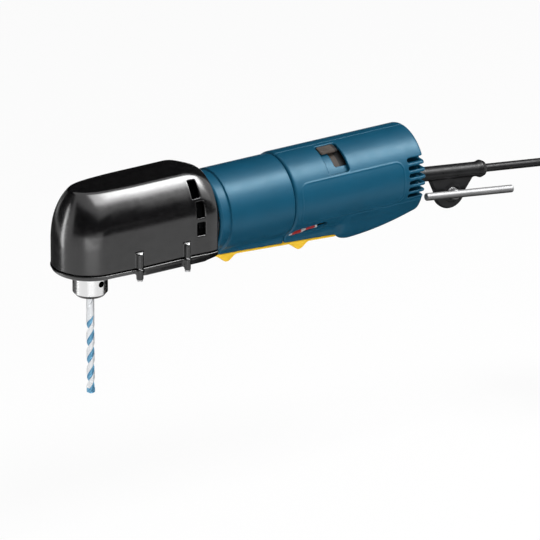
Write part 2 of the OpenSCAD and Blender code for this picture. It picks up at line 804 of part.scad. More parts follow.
// Wedge of the drum between two angles above the photographed horizontal
module wedge(from, to) {
  reach = 2 * rear_r;
  rotate([90, 0, 90]) linear_extrude(2 * end_x) polygon([
    [0, 0], [-reach * cos(from), reach * sin(from)], [-reach * cos(to), reach * sin(to)]]);
}

disc_r = shield_r - shield_t - seat_gap;
holder_wall = 1.5;
holder_out = commutator_d / 2 + 12.2;

module brush_plate() {
  color("#4a3b30") along_x(plate_disc_x) difference() {
    cylinder(h = plate_disc_t, r = disc_r);
    translate([0, 0, -over]) cylinder(h = plate_disc_t + 2 * over, r = shaft_r + 4);
  }
}

module brush_holders() {
  inner = commutator_d / 2 + 0.8;
  half_x = brush_len / 2;
  half_z = brush_w / 2;
  color("#c9a24a") both_sides() difference() {
    box([brush_x - half_x - holder_wall, plate_disc_x - seat_gap], [-holder_out, -inner],
      [-half_z - holder_wall, half_z + holder_wall]);
    box([brush_x - half_x, brush_x + half_x], [-holder_out - over, -inner + over], [-half_z, half_z]);
  }
}

module carbon_brushes() {
  half_x = brush_len / 2 - seat_gap;
  half_z = brush_w / 2 - seat_gap;
  color("#2a2a2c") both_sides()
    box([brush_x - half_x, brush_x + half_x], [2 - holder_out, -commutator_d / 2 - run_gap],
      [-half_z, half_z]);
}

// Thumb tab on a curved shield that closes the pocket at every position
module direction_lever() {
  tab_high = pocket_high - 0.8;
  tab_span = 14;
  color("#6b625a") {
    intersection() {
      along_x(pocket_x - 1.2) ring(shield_r, shield_r - shield_t, pocket_len + 2.4);
      wedge(pocket_low - 2, pocket_high + lever_turn + 1.5);
    }
    intersection() {
      along_x(pocket_x + move_gap) ring(rear_r - 0.4, shield_r - shield_t, pocket_len - 2 * move_gap);
      wedge(tab_high - tab_span, tab_high);
    }
  }
}

module lock_slide() {
  len = lock_slot_len - lock_travel - 2 * move_gap;
  start = -lock_slot_len / 2 + move_gap;
  inner = rear_r - body_wall - 0.75;
  half_h = lock_slot_h / 2 - move_gap;
  foot = lock_slot_h / 2 + 1.5;
  color("#b3201c") lock_place() {
    box([start, start + len], [-rear_r + 0.6, -inner + 0.2], [-half_h, half_h]);
    box([start, start + len], [-inner, -inner + 1.4], [-foot, foot]);
  }
}

// Paddle: a bar along the keel with two rounded finger stops underneath
stop_h = 5.3;
paddle_end = paddle_x + paddle_len + tube_len - paddle_tube;
stop_1 = paddle_x + 12;
stop_2 = paddle_end - 35;
stop_half = 10;
stop_steps = 8;
plunger_x = paddle_end - 1.5;
spring_x = pin_x + 44;
spring_wire = 0.8;
spring_r = 2.6;
function stop_drop(x, at) = abs(x - at) >= stop_half ? 0 : stop_h * pow(cos(90 * (x - at) / stop_half), 2);
function paddle_low(x) = keel_depth(x) + paddle_show + stop_drop(x, stop_1) + stop_drop(x, stop_2);
function paddle_top(x) = pin_depth - 1.7 + (x - pin_x) * tan(paddle_turn);

module paddle() {
  stations = concat([paddle_x],
    [for (at = [stop_1, stop_2], i = [0 : stop_steps]) at + stop_half * (2 * i / stop_steps - 1)],
    [paddle_end]);
  color("#f5c61e") difference() {
    outline_xz(recess_w - 2 * move_gap) polygon(concat(
      [for (x = stations) [x, -paddle_low(x)]],
      [[paddle_end, -paddle_top(paddle_end)], [paddle_x, -paddle_top(paddle_x)]]));
    rod_y(pin_x, -pin_depth, -rear_r, 2 * rear_r, pin_r + run_gap);
    translate([spring_x, 0, -paddle_low(spring_x) + 1.6]) cylinder(h = rear_r, r = spring_r + spring_wire);
  }
}

module paddle_pin() { color("#a9adb1") rod_y(pin_x, -pin_depth, -keel_w / 2 + 0.4, keel_w - 0.8, pin_r); }

// Round wire along a helix of whole curls, as one unbroken tube
function helix_ring(r, wire, sides, angle, z) = [for (s = [0 : sides - 1])
  let (a = 360 * s / sides, d = r + wire * cos(a)) [d * cos(angle), d * sin(angle), z + wire * sin(a)]];
function tube_faces(rings, sides) = concat(
  [for (i = [0 : rings - 2], s = [0 : sides - 1], half = [0, 1])
    let (n = (s + 1) % sides, a = i * sides, b = a + sides)
    half == 0 ? [a + s, b + s, b + n] : [a + s, b + n, a + n]],
  [for (s = [1 : sides - 2]) [0, s, s + 1]],
  [for (s = [1 : sides - 2]) [(rings - 1) * sides, (rings - 1) * sides + s + 1, (rings - 1) * sides + s]]);

module paddle_spring() {
  curls = 3;
  steps = 8;
  sides = 6;
  wire = spring_wire / 2;
  low = -paddle_low(spring_x) + 1.7 + wire;
  high = -recess_depth - 0.1 - wire;
  rings = curls * steps + 1;
  color("#9da1a5") translate([spring_x, 0, 0]) polyhedron(
    points = [for (i = [0 : rings - 1])
      each helix_ring(spring_r, wire, sides, 360 * i / steps, low + (high - low) * i / (rings - 1))],
    faces = tube_faces(rings, sides));
}

switch_low = rear_r - body_wall - 1.7;
switch_high = bridge_y + 3.3;
plunger_r = 2;
module switch_module() {
  half_w = 8.5;
  color("#1f1f21") difference() {
    box([plunger_x - 3, plunger_x + 28], [-half_w, half_w], [-switch_low, -switch_high]);
    translate([plunger_x, 0, -switch_low - over]) cylinder(h = 9 + over, r = plunger_r + run_gap);
  }
}

module switch_plunger() {
  low = -paddle_top(plunger_x) + move_gap;
  color("#e4e2da") translate([plunger_x, 0, low]) cylinder(h = -switch_low + 3 - low, r = plunger_r);
}

module capacitor() {
  x = back_brg_x + back_brg[2] + 1.3;
  color("#c8b23c") difference() {
    box([x, x + 18], [-8, 8], [12, 26]);
    box([x + 1, x + 17], [-7, 7], [25.4, 27]);
  }
}

// Inner end of the cord, held by a clamp bar
clamp_from = -24;
clamp_to = -15;
clamp_half = 11;
clamp_screw_y = 7.5;
clamp_screw_r = 1.5;
module inner_lead() {
  start = clamp_from - 6;
  color("#202022") relief_place() rod_x(start, -relief_root - seat_gap - start, cord_d / 2);
}

module cord_clamp() {
  color("#3a3c3e") relief_place() difference() {
    box([clamp_from, clamp_to], [-clamp_half, clamp_half], [-5.5, 5.5]);
    rod_x(clamp_from - over, clamp_to - clamp_from + 2 * over, cord_d / 2 + seat_gap);
    for (y = [-clamp_screw_y, clamp_screw_y])
      translate([(clamp_from + clamp_to) / 2, y, -6]) cylinder(h = 12, r = clamp_screw_r + seat_gap);
  }
}

module clamp_screws() {
  color("#b8bcc0") relief_place() for (y = [-clamp_screw_y, clamp_screw_y])
    translate([(clamp_from + clamp_to) / 2, y, 0]) {
    translate([0, 0, -5]) cylinder(h = 11, r = clamp_screw_r);
    translate([0, 0, 5.6]) cylinder(h = 2, r = 2.8);
  }
}

// Key holder: a plate moulded to the strain relief
key_x = 48;
key_z = -16.5;
key_shank_r = 4.7;
holder_r = 10.5;
holder_t = 6;
module strain_relief() {
  bead_r = relief_d / 2 + 0.95;
  relief_face = relief_d / 2 * sin(relief_droop) + 0.2;
  color("#1c1c1e") relief_place() difference() {
    union() {
      along_x(0) rotate_extrude() polygon([
        [0, -relief_root], [relief_neck_r, -relief_root], [relief_neck_r, -8],
        [relief_neck_r + 2.5, -8], [relief_neck_r + 2.5, -4], [relief_neck_r, -4],
        [relief_neck_r, relief_face],
        [relief_d / 2, relief_face], [relief_d / 2 - 0.4, relief_len - 6], [bead_r, relief_len - 5],
        [bead_r, relief_len - 1], [bead_r - 1, relief_len], [0, relief_len]]);
      outline_xz(holder_t) union() {
        polygon([[key_x - 22, -3], [key_x + 18, -3],
          [key_x + holder_r - 0.4, key_z + 2.6], [key_x - holder_r + 0.4, key_z + 2.6]]);
        translate([key_x, key_z]) circle(holder_r);
      }
    }
    rod_y(key_x, key_z, -holder_t, 2 * holder_t, key_shank_r + run_gap);
  }
}

key_hub_r = 5.8;
key_bar_y = -holder_t / 2 - 5.5;
key_bar_front = 28.2;
module chuck_key() {
  teeth = 10;
  gear_from = holder_t / 2 + 1;
  gear_len = 8;
  color("#c2c5c8") relief_place() difference() {
    union() {
      rod_y(key_x, key_z, key_bar_y - 5, 5 - key_bar_y - holder_t / 2 - move_gap, key_hub_r);
      rod_y(key_x, key_z, -holder_t, holder_t + gear_from + gear_len, key_shank_r);
      rod_y(key_x, key_z, 0, gear_from + gear_len + 8, key_hole_d / 2 - 0.15);
    }
    for (k = [0 : teeth - 1]) translate([key_x, gear_from, key_z]) rotate([0, 360 * k / teeth, 0])
      box([key_shank_r - 1.3, 2 * key_shank_r], [0, gear_len + over], [-0.6, 0.6]);
    rod_x(key_x - 3 * key_hub_r, 6 * key_hub_r, key_bar_d / 2 + seat_gap, key_z, key_bar_y);
  }
}

module key_bar() {
  color("#b9bcc0") relief_place() translate([0, key_bar_y, 0])
    rod_x(key_x - key_bar_front, key_bar_len, key_bar_d / 2, key_z);
}

// Chuck
key_hole_turn = 38;
jaw_turn = key_hole_turn + 60;
jaw_r = jaw_d / 2;
module jaw_place(k) {
  rotate([0, 0, jaw_turn + 360 * k / jaw_count]) translate([jaw_foot_r, 0, -jaw_low])
    rotate([0, jaw_slope, 0]) children();
}
function jaw_outside(depth) = jaw_foot_r + (jaw_low - depth) * tan(jaw_slope) + jaw_r / cos(jaw_slope);

module chuck_body() {
  top = chuck_top - move_gap;
  color("#c9ccd0") difference() {
    rotate_extrude() polygon([
      [0, -chuck_depth], [nose_r - 2.5, -chuck_depth], [nose_r, -chuck_depth + chamfer],
      [nose_r, -nut_low], [groove_r, -nut_low], [groove_r, -nut_high], [upper_r, -nut_high],
      [upper_r, top - 2], [upper_r - 2, top], [0, top]]);
    rod_z(chuck_top - 12 - seat_gap, 14, low_brg[0] - 1 + seat_gap);
    rod_z(-chuck_depth - over, mouth_depth + over, mouth_r);
    for (k = [0 : jaw_count - 1]) {
      jaw_place(k) translate([0, 0, -8]) cylinder(h = jaw_len + jaw_stroke + 9, r = jaw_r + run_gap);
      rotate([0, 0, key_hole_turn + 360 * k / jaw_count]) translate([0, 0, -key_hole_depth]) rotate([0, 90, 0])
        translate([0, 0, mouth_r + 1]) cylinder(h = nose_r, d = key_hole_d);
    }
  }
}

// Turning sleeve with the ring of key teeth on its lower edge
module chuck_sleeve() {
  top = chuck_top - 2.2;
  tooth_h = 1.8;
  color("#b4b7bb") difference() {
    rotate_extrude() polygon([
      [nose_r + 2 * run_gap, -sleeve_low], [sleeve_r - tooth_h, -sleeve_low],
      [sleeve_r, -sleeve_low + tooth_h], [sleeve_r, top], [upper_r + 2 * run_gap, top],
      [upper_r + 2 * run_gap, -nut_low - seat_gap],
      [nose_r + 2 * run_gap, -nut_low - seat_gap]]);
    for (k = [0 : sleeve_teeth - 1]) rotate([0, 0, 360 * k / sleeve_teeth])
      translate([sleeve_r - tooth_h / 2, 0, -sleeve_low]) rotate([0, -45, 0])
        box([-2 * tooth_h, 2 * tooth_h], [-tooth_h / 2, tooth_h / 2], [-tooth_h, tooth_h / 2]);
  }
}

// Nut ring inside the sleeve; its cone follows the backs of the jaws
module chuck_nut() {
  low = nut_low - 0.15;
  high = nut_high + 0.15;
  bore_low = max(groove_r, jaw_outside(low)) + 0.2;
  bore_high = max(groove_r, jaw_outside(high)) + 0.2;
  color("#8a8d91") rotate_extrude() polygon([
    [bore_low, -low], [upper_r, -low], [upper_r, -high], [bore_high, -high]]);
}

module chuck_jaw(k) {
  color("#6d7074") difference() {
    jaw_place(k) cylinder(h = jaw_len, r = jaw_r);
    rotate([0, 0, jaw_turn + 360 * k / jaw_count])
      box([-nose_r, bit_d / 2 + run_gap], [-nose_r, nose_r], [-2 * chuck_depth, 0]);
  }
}

// Drill bit: plain shank, two twisted flutes and a wider tip plate
shank_show = 17;
flute_lead = 28.9;
tip_len = 8.3;
module drill_bit() {
  bit_r = bit_d / 2;
  flute_len = bit_reach - shank_show - tip_len;
  flute_low = -chuck_depth - bit_reach + tip_len;
  color("#8fb4cc") {
    rod_z(-chuck_depth - shank_show, shank_show + mouth_depth - 2, bit_r);
    translate([0, 0, flute_low])
      linear_extrude(flute_len + 0.1, twist = -360 * flute_len / flute_lead, slices = 30)
      difference() {
        circle(bit_r, $fn = 16);
        for (side = [-1, 1]) translate([side * bit_r * 0.98, 0]) circle(bit_r * 0.6, $fn = 10);
      }
    rotate_extrude() polygon([
      [0, flute_low - tip_len], [bit_r * 1.06, flute_low - tip_len + 1.8],
      [bit_r * 1.06, flute_low - tip_len + 5],
      [bit_r * 0.8, flute_low + 0.1], [0, flute_low + 0.1]]);
  }
}

// Cord: points of the hanging lead in x and z, counted from the spindle
lead_points = [[355.6, -19], [372, -20.92], [392, -23.27], [423.5, -27], [430.7, -28.77], [437.3, -32.2],
  [443, -37.4], [447.2, -44.2], [449.4, -51.2], [450, -58.2]];
coil_x = 450;
coil_z = -130.2;
coil_turns = 2.5;
coil_layers = 4;
coil_in_r = 29;
coil_pitch = 7.05;
coil_rings = 24;
coil_sides = 6;
lead_sides = 8;
join_bend_r = 28;
coil_out_r = coil_in_r + coil_pitch * coil_turns;
join_run = 2 * cord_d;
join_radii = join_bend_r + coil_out_r;
join_turn = acos(join_bend_r / norm([join_radii, join_run])) - atan(join_run / join_radii);
join_angle = 180 - join_turn;
join_z = coil_z + join_radii * sin(join_turn) + join_run * cos(join_turn);
join_way = [0, -sin(join_turn), -cos(join_turn)];
join_steps = 7;
coil_total = coil_layers * coil_turns + join_turn / 360;
tail_len = 40;

// Place on the coil after a number of turns: spirals in and out, and climbs where it reverses
function coil_swing(turn) = let (phase = turn % (2 * coil_turns)) turn > coil_layers * coil_turns
  ? coil_turns + turn - coil_layers * coil_turns : abs(coil_turns - phase);
function coil_climb(turn) = let (nearest = round(turn / coil_turns), off = turn - nearest * coil_turns)
  nearest < 1 ? 0 : nearest >= coil_layers ? coil_layers - 1
  : nearest - 1 + (abs(off) < 0.25 ? 0.5 + 2 * off : off < 0 ? 0 : 1);
function coil_at(turn) = let (r = coil_in_r + coil_pitch * coil_swing(turn), a = join_angle + 360 * turn)
  [coil_x + coil_pitch * coil_climb(turn), r * cos(a), coil_z + r * sin(a)];
coil_path = concat([coil_at(0) - join_run / 2 * join_way],
  [for (i = [0 : floor(coil_total * coil_rings)]) coil_at(i / coil_rings)],
  [coil_at(coil_total) - [0, 0, cord_d]]);

function bend_at(angle) = [coil_x, -join_bend_r + join_bend_r * cos(angle), join_z - join_bend_r * sin(angle)];
lead_path = concat([for (p = lead_points) [p[0], 0, p[1]]],
  [for (i = [0 : join_steps]) bend_at(join_turn * i / join_steps)],
  [coil_at(0) - (join_run / 2 + 0.05) * join_way]);

// Round tube swept square to a path, with its section carried along without twist
function unit(v) = v / norm(v);
function path_way(path, i) = unit(path[min(i + 1, len(path) - 1)] - path[max(i - 1, 0)]);
function sweep_frames(path, i, side) = i >= len(path) ? [] : let (way = path_way(path, i),
    next = unit(side - (side * way) * way))
  concat([[way, next]], sweep_frames(path, i + 1, next));
module swept_tube(path, r, sides) {
  frames = sweep_frames(path, 0, unit(cross(path_way(path, 0), [0.3, 0.9, 0.2])));
  polyhedron(
    points = [for (i = [0 : len(path) - 1], s = [0 : sides - 1])
      let (side = frames[i][1], up = cross(frames[i][0], side))
      path[i] + r * (cos(360 * s / sides) * side + sin(360 * s / sides) * up)],
    faces = tube_faces(len(path), sides));
}

function least_gap(path) = min([for (i = [0 : len(path) - 1], j = [i + coil_rings / 2 : len(path) - 1])
  norm(path[i] - path[j])]) - cord_d;

module power_cord() { color("#202022") swept_tube(lead_path, cord_d / 2, lead_sides); }

module cord_coil() {
  echo(coil_least_gap = least_gap(coil_path));
  color("#202022") swept_tube(coil_path, cord_d / 2, coil_sides);
}

coil_end = coil_path[len(coil_path) - 1];
plug_top = coil_end[2] - tail_len;
module cord_tail() {
  color("#202022") translate([coil_end[0], coil_end[1], plug_top]) cylinder(h = tail_len - 0.3, d = cord_d);
}

// Band round the bundle of turns
module cord_tie() {
  slack = 0.6;
  band = 1.4;
  low = coil_in_r - cord_d / 2 - slack;
  high = coil_out_r + cord_d / 2 + slack;
  left = -cord_d / 2 - slack;
  right = coil_pitch * (coil_layers - 1) + cord_d / 2 + slack;
  turn = 62;
  color("#2e2e30") translate([coil_x, 0, coil_z]) rotate([90, 0, 90]) rotate([0, 0, turn])
    rotate_extrude(angle = 11) difference() {
      translate([low - band, left - band]) square([high - low + 2 * band, right - left + 2 * band]);
      translate([low, left]) square([high - low, right - left]);
    }
}

// Flat two pin plug
plug_len = 36;
plug_pin_d = 4.8;
plug_pin_len = 19;
plug_pitch = 19;
plug_root_r = 1.9;
plug_root_len = 7;
module plug_place() { translate([coil_end[0], coil_end[1], plug_top]) children(); }
module plug_body() {
  color("#202022") plug_place() difference() {
    hull() {
      translate([0, 0, -8]) cylinder(h = 8, r = cord_d / 2 + 2, $fn = hull_fn);
      for (y = [-9, 9]) translate([0, y, -plug_len]) cylinder(h = 17, r = 7, $fn = hull_fn);
    }
    for (y = [-1, 1]) translate([0, y * plug_pitch / 2, -plug_len - over])
      cylinder(h = plug_root_len + 2 * over, r = plug_root_r + seat_gap);
  }
}

module plug_pins() {
  color("#c9ccd0") plug_place() for (y = [-1, 1]) translate([0, y * plug_pitch / 2, -plug_len]) {
    translate([0, 0, -plug_pin_len - seat_gap]) cylinder(h = plug_pin_len, d = plug_pin_d);
    translate([0, 0, -over]) cylinder(h = plug_root_len + over, r = plug_root_r);
  }
}

placed() head_cover();
placed() head_base();
placed() head_screws();
placed() gear_case();
placed() bearing_plate();
placed() gear_plate();
placed() spindle();
placed() crown_gear();
placed() spindle_circlip();
placed() spindle_upper_bearing();
placed() spindle_lower_bearing();
placed() bevel_pinion_shaft();
placed() intermediate_gear();
placed() pinion_bearing();
placed() intermediate_bearing();
placed() chuck_body();
placed() chuck_sleeve();
placed() chuck_nut();
placed() chuck_jaw(0);  // chuck_jaw_1
placed() chuck_jaw(1);  // chuck_jaw_2
placed() chuck_jaw(2);  // chuck_jaw_3
placed() drill_bit();
placed() armature_shaft();
placed() armature_core();
placed() armature_winding();
placed() commutator();
placed() cooling_fan();
placed() armature_front_bearing();
placed() armature_rear_bearing();
placed() rear_bearing_sleeve();
placed() air_guide();
placed() stator_core();
placed() field_coils();
placed() motor_housing();
placed() rear_shell_left();
placed() rear_shell_right();
placed() shell_screws();
placed() brush_plate();
placed() brush_holders();
placed() carbon_brushes();
placed() direction_lever();
placed() lock_slide();
placed() paddle();
placed() paddle_pin();
placed() paddle_spring();
placed() switch_module();
placed() switch_plunger();
placed() capacitor();
placed() inner_lead();
placed() cord_clamp();
placed() clamp_screws();
placed() strain_relief();
placed() chuck_key();
placed() key_bar();
placed() power_cord();
placed() cord_coil();
placed() cord_tail();
placed() cord_tie();
placed() plug_body();
placed() plug_pins();
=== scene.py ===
"""Looks of a corded right angle drill with a keyed chuck and a paddle switch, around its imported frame."""
import json
import math

import bpy
import numpy as np
from mathutils import Matrix, Vector


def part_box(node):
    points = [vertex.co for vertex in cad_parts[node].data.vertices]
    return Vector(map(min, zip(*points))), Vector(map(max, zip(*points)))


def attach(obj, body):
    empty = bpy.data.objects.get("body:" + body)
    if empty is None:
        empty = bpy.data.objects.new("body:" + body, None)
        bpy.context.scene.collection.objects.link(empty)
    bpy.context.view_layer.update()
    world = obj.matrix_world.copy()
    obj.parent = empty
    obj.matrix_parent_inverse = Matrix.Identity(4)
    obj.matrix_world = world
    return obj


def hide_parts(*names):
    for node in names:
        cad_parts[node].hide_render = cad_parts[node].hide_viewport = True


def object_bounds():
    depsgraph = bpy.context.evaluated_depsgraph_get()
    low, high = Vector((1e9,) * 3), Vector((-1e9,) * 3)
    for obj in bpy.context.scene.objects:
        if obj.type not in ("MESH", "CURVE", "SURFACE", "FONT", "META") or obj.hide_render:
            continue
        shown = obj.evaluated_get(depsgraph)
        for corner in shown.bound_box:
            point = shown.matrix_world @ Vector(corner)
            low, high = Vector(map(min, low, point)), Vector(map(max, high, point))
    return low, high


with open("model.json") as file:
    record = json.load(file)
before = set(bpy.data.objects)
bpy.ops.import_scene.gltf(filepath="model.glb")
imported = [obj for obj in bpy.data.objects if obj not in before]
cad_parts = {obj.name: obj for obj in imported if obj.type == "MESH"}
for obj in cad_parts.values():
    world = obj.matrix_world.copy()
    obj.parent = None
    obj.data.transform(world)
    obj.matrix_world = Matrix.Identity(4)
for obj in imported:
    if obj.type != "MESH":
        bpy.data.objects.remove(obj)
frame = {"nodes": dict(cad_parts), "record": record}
CAD_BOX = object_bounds()

# The script counts millimetres from the spindle axis (x) and from the motor axis (y, z)

MM = 0.001
BIT_LOW, BIT_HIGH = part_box("drill_bit")
SPINDLE = Vector(((BIT_LOW.x + BIT_HIGH.x) / 2, 0, 0))


def to_frame(points):
    """Points in the script's millimetres as frame metres."""
    return np.asarray(points, float) * MM + np.array(SPINDLE)


def box_mm(node):
    """A CAD node's lowest and highest corners in the script's millimetres."""
    low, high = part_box(node)
    return np.array(low - SPINDLE) / MM, np.array(high - SPINDLE) / MM


# Fields: negative inside a form, growing by about one per millimetre outwards

FAR = 99.0
LEAST_SLOPE = 0.3


def both(a, b, r=0.0):
    """What two forms share, with the edge between them rounded by about r."""
    if r == 0:
        return np.maximum(a, b)
    h = np.maximum(2 * r - np.abs(a - b), 0)
    return np.maximum(a, b) + h * h / (8 * r)


def either(a, b, r=0.0):
    """Two forms joined, with the corner between them filled by about r."""
    return -both(-a, -b, r)


def cut(a, b, r=0.0):
    """The first form without the second."""
    return both(a, -b, r)


def between(v, low, high):
    return np.abs(v - (low + high) / 2) - (high - low) / 2


def ramp(v, low, high):
    """A smooth step from 0 at low to 1 at high."""
    t = np.clip((v - low) / (high - low), 0, 1)
    return t * t * (3 - 2 * t)


def block(u, v, half_u, half_v, r):
    """A rounded rectangle about the origin of u and v."""
    a = np.abs(u) - half_u + r
    b = np.abs(v) - half_v + r
    return np.hypot(np.maximum(a, 0), np.maximum(b, 0)) + np.minimum(np.maximum(a, b), 0) - r


def turned(a, b, angle):
    """Two coordinates in axes that are turned by an angle in degrees."""
    c, s = math.cos(math.radians(angle)), math.sin(math.radians(angle))
    return a * c + b * s, b * c - a * s


def flank(y, z, angle):
    """Distance out of the photographed side and height across it, at an angle up about the motor axis."""
    return turned(-y, z, angle)


def gradient(field, p, reach=0.05):
    """Direction in which a field grows, at points, one row each."""
    grown = []
    for axis in np.eye(3) * reach:
        grown.append(field(*(p + axis).T) - field(*(p - axis).T))
    g = np.stack(grown, 1) / (2 * reach)
    return g / np.maximum(np.linalg.norm(g, axis=1, keepdims=True), 1e-9), np.linalg.norm(g, axis=1)


def skin(field, low, high, step):
    """Points, four-sided faces and normals of the surface where a field is zero, found on a grid of cells."""
    axes = [np.linspace(a, b, int(round((b - a) / s)) + 1) for a, b, s in zip(low, high, step)]
    values = field(*np.meshgrid(*axes, indexing="ij"))
    cells = np.array(values.shape) - 1
    crossings, rings = [], []
    for axis in range(3):
        near, far = np.moveaxis(values, axis, 0)[:-1], np.moveaxis(values, axis, 0)[1:]
        at = np.argwhere((near < 0) != (far < 0))
        here, there = near[tuple(at.T)], far[tuple(at.T)]
        at = np.insert(at[:, 1:], axis, at[:, 0], axis=1)
        p = np.stack([axes[k][at[:, k]] for k in range(3)], 1)
        p[:, axis] += here / (here - there) * (axes[axis][1] - axes[axis][0])
        ring = []
        for du, dv in ((-1, -1), (0, -1), (0, 0), (-1, 0)):
            cell = at.copy()
            cell[:, (axis + 1) % 3] += du
            cell[:, (axis + 2) % 3] += dv
            ring.append(np.ravel_multi_index(cell.T, cells))
        ring = np.stack(ring, 1)
        ring[here > 0] = ring[here > 0][:, ::-1]
        crossings.append(np.repeat(p, 4, axis=0))
        rings.append(ring)
    faces = np.concatenate(rings)
    # Each corner is the mean of the crossings round its cell
    _, where = np.unique(faces.ravel(), return_inverse=True)
    where = where.ravel()
    count = np.bincount(where)
    crossings = np.concatenate(crossings)
    points = np.stack([np.bincount(where, crossings[:, k]) / count for k in range(3)], 1)
    for _ in range(2):
        normal, slope = gradient(field, points)
        off = field(*points.T) / np.maximum(slope, LEAST_SLOPE)
        points -= normal * np.clip(off, -min(step), min(step))[:, None]
    return points, where.reshape(-1, 4), gradient(field, points)[0]


def piece(name, points, faces, look, body="housing", normals=None):
    """A new object from points in the script's millimetres, riding on a body."""
    mesh = bpy.data.meshes.new(name)
    mesh.from_pydata(to_frame(points).tolist(), [], [list(map(int, face)) for face in faces])
    mesh.validate()
    mesh.shade_smooth()
    if normals is not None:
        mesh.normals_split_custom_set_from_vertices(normals.tolist())
    mesh.materials.append(look)
    made = bpy.data.objects.new(name, mesh)
    bpy.context.scene.collection.objects.link(made)
    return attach(made, body)


def form(name, field, low, high, look, body="housing", step=(0.7, 0.7, 0.7)):
    """A piece whose surface is where a field is zero."""
    points, faces, normals = skin(field, low, high, step)
    return piece(name, points, faces, look, body, normals)


# Materials


def join(tree, value, socket):
    """Links a socket to another one, or sets it to a plain value."""
    if isinstance(value, bpy.types.NodeSocket):
        tree.links.new(value, socket)
    else:
        socket.default_value = value


def calc(tree, operation, first, second):
    """Result of a sum on two sockets or plain values."""
    node = tree.nodes.new("ShaderNodeMath")
    node.operation = operation
    join(tree, first, node.inputs[0])
    join(tree, second, node.inputs[1])
    return node.outputs[0]


class Nodes:
    """A material's node tree, with short ways to add and join nodes."""

    def __init__(self, name):
        self.look = bpy.data.materials.new(name)
        self.look.use_nodes = True
        self.tree = self.look.node_tree
        self.shader = self.tree.nodes["Principled BSDF"]
        self.place = self.tree.nodes.new("ShaderNodeTexCoord").outputs["Object"]

    def add(self, kind, **values):
        node = self.tree.nodes.new("ShaderNode" + kind)
        for name, value in values.items():
            join(self.tree, value, node.inputs[name.replace("_", " ")])
        return node

    def feed(self, name, socket):
        self.tree.links.new(socket, self.shader.inputs[name])

    def fix(self, **values):
        for name, value in values.items():
            self.shader.inputs[name.replace("_", " ")].default_value = value

    def noise(self, scale, detail):
        return self.add("TexNoise", Vector=self.place, Scale=scale, Detail=detail).outputs["Fac"]

    def step(self, value, low, high):
        """0 where a value is low and 1 where it is high."""
        return self.add("MapRange", Value=value, From_Min=low, From_Max=high).outputs["Result"]

    def off_axis(self, axis):
        """Distance from an upright axis."""
        flat = self.add("Mapping", Vector=self.place, Location=-axis, Scale=(1, 1, 0)).outputs["Vector"]
        length = self.add("VectorMath", Vector=flat)
        length.operation = "LENGTH"
        return length.outputs["Value"]

    def span(self, value, low, high):
        """The middle part of a noise, from 0.3 to 0.7, spread over a span."""
        made = self.add("MapRange", Value=value, From_Min=0.3, From_Max=0.7, To_Min=low, To_Max=high)
        return made.outputs["Result"]

    def tint(self, factor, first, second):
        """A colour that goes from the first to the second over the middle part of a factor."""
        ramp_node = self.tree.nodes.new("ShaderNodeValToRGB")
        ramp_node.color_ramp.elements[0].color = (*first, 1)
        ramp_node.color_ramp.elements[1].color = (*second, 1)
        ramp_node.color_ramp.elements[0].position = 0.3
        ramp_node.color_ramp.elements[1].position = 0.7
        self.tree.links.new(factor, ramp_node.inputs["Fac"])
        return ramp_node.outputs["Color"]

    def bump(self, height, distance):
        made = self.add("Bump", Height=height, Distance=distance, Strength=1.0)
        self.feed("Normal", made.outputs["Normal"])


def shade(colour, factor):
    return tuple(min(1.0, c * factor) for c in colour)


def moulded(name, colour, rough, grain=0.00003, specular=0.5, gleam=(1, 1, 1)):
    """Injection moulded plastic: fine spark-eroded grain, slight flow marks and uneven gloss."""
    n = Nodes(name)
    n.feed("Base Color", n.tint(n.noise(45, 4), shade(colour, 0.94), shade(colour, 1.06)))
    n.feed("Roughness", n.span(n.noise(160, 3), rough - 0.04, rough + 0.05))
    n.bump(n.noise(1400, 3), grain)
    n.fix(Specular_IOR_Level=specular, Specular_Tint=(*gleam, 1))
    return n.look


def machined(name, colour, rough, brush_axis=None, line=0.00001):
    """Bare metal with fine turning or drawing marks along one axis."""
    n = Nodes(name)
    stretch = [900.0, 900.0, 900.0]
    if brush_axis is not None:
        stretch[brush_axis] = 12.0
    lay = n.add("Mapping", Vector=n.place, Scale=stretch).outputs["Vector"]
    marks = n.add("TexNoise", Vector=lay, Scale=2.0, Detail=3.0).outputs["Fac"]
    n.feed("Base Color", n.tint(n.noise(70, 3), shade(colour, 0.9), shade(colour, 1.06)))
    n.feed("Roughness", n.span(marks, rough - 0.05, rough + 0.07))
    n.bump(marks, line)
    n.fix(Metallic=1.0)
    return n.look


def rubbery(name, colour, rough):
    """Soft rubber or cord sheath: dull, with a faint bloom and a fine drag grain."""
    n = Nodes(name)
    n.feed("Base Color", n.tint(n.noise(120, 5), shade(colour, 0.8), shade(colour, 1.35)))
    n.feed("Roughness", n.span(n.noise(300, 3), rough - 0.06, rough + 0.08))
    n.bump(n.noise(2200, 2), 0.00002)
    n.fix(Specular_IOR_Level=0.22)
    return n.look


def wound(name, colour):
    """Enamelled copper winding: fine strands across the motor axis."""
    n = Nodes(name)
    strands = n.add("TexWave", Vector=n.place, Scale=260.0, Distortion=1.5, Detail=2.0).outputs["Fac"]
    n.feed("Base Color", n.tint(strands, shade(colour, 0.55), colour))
    n.feed("Roughness", n.span(n.noise(200, 2), 0.3, 0.45))
    n.bump(strands, 0.0001)
    n.fix(Metallic=0.8)
    return n.look


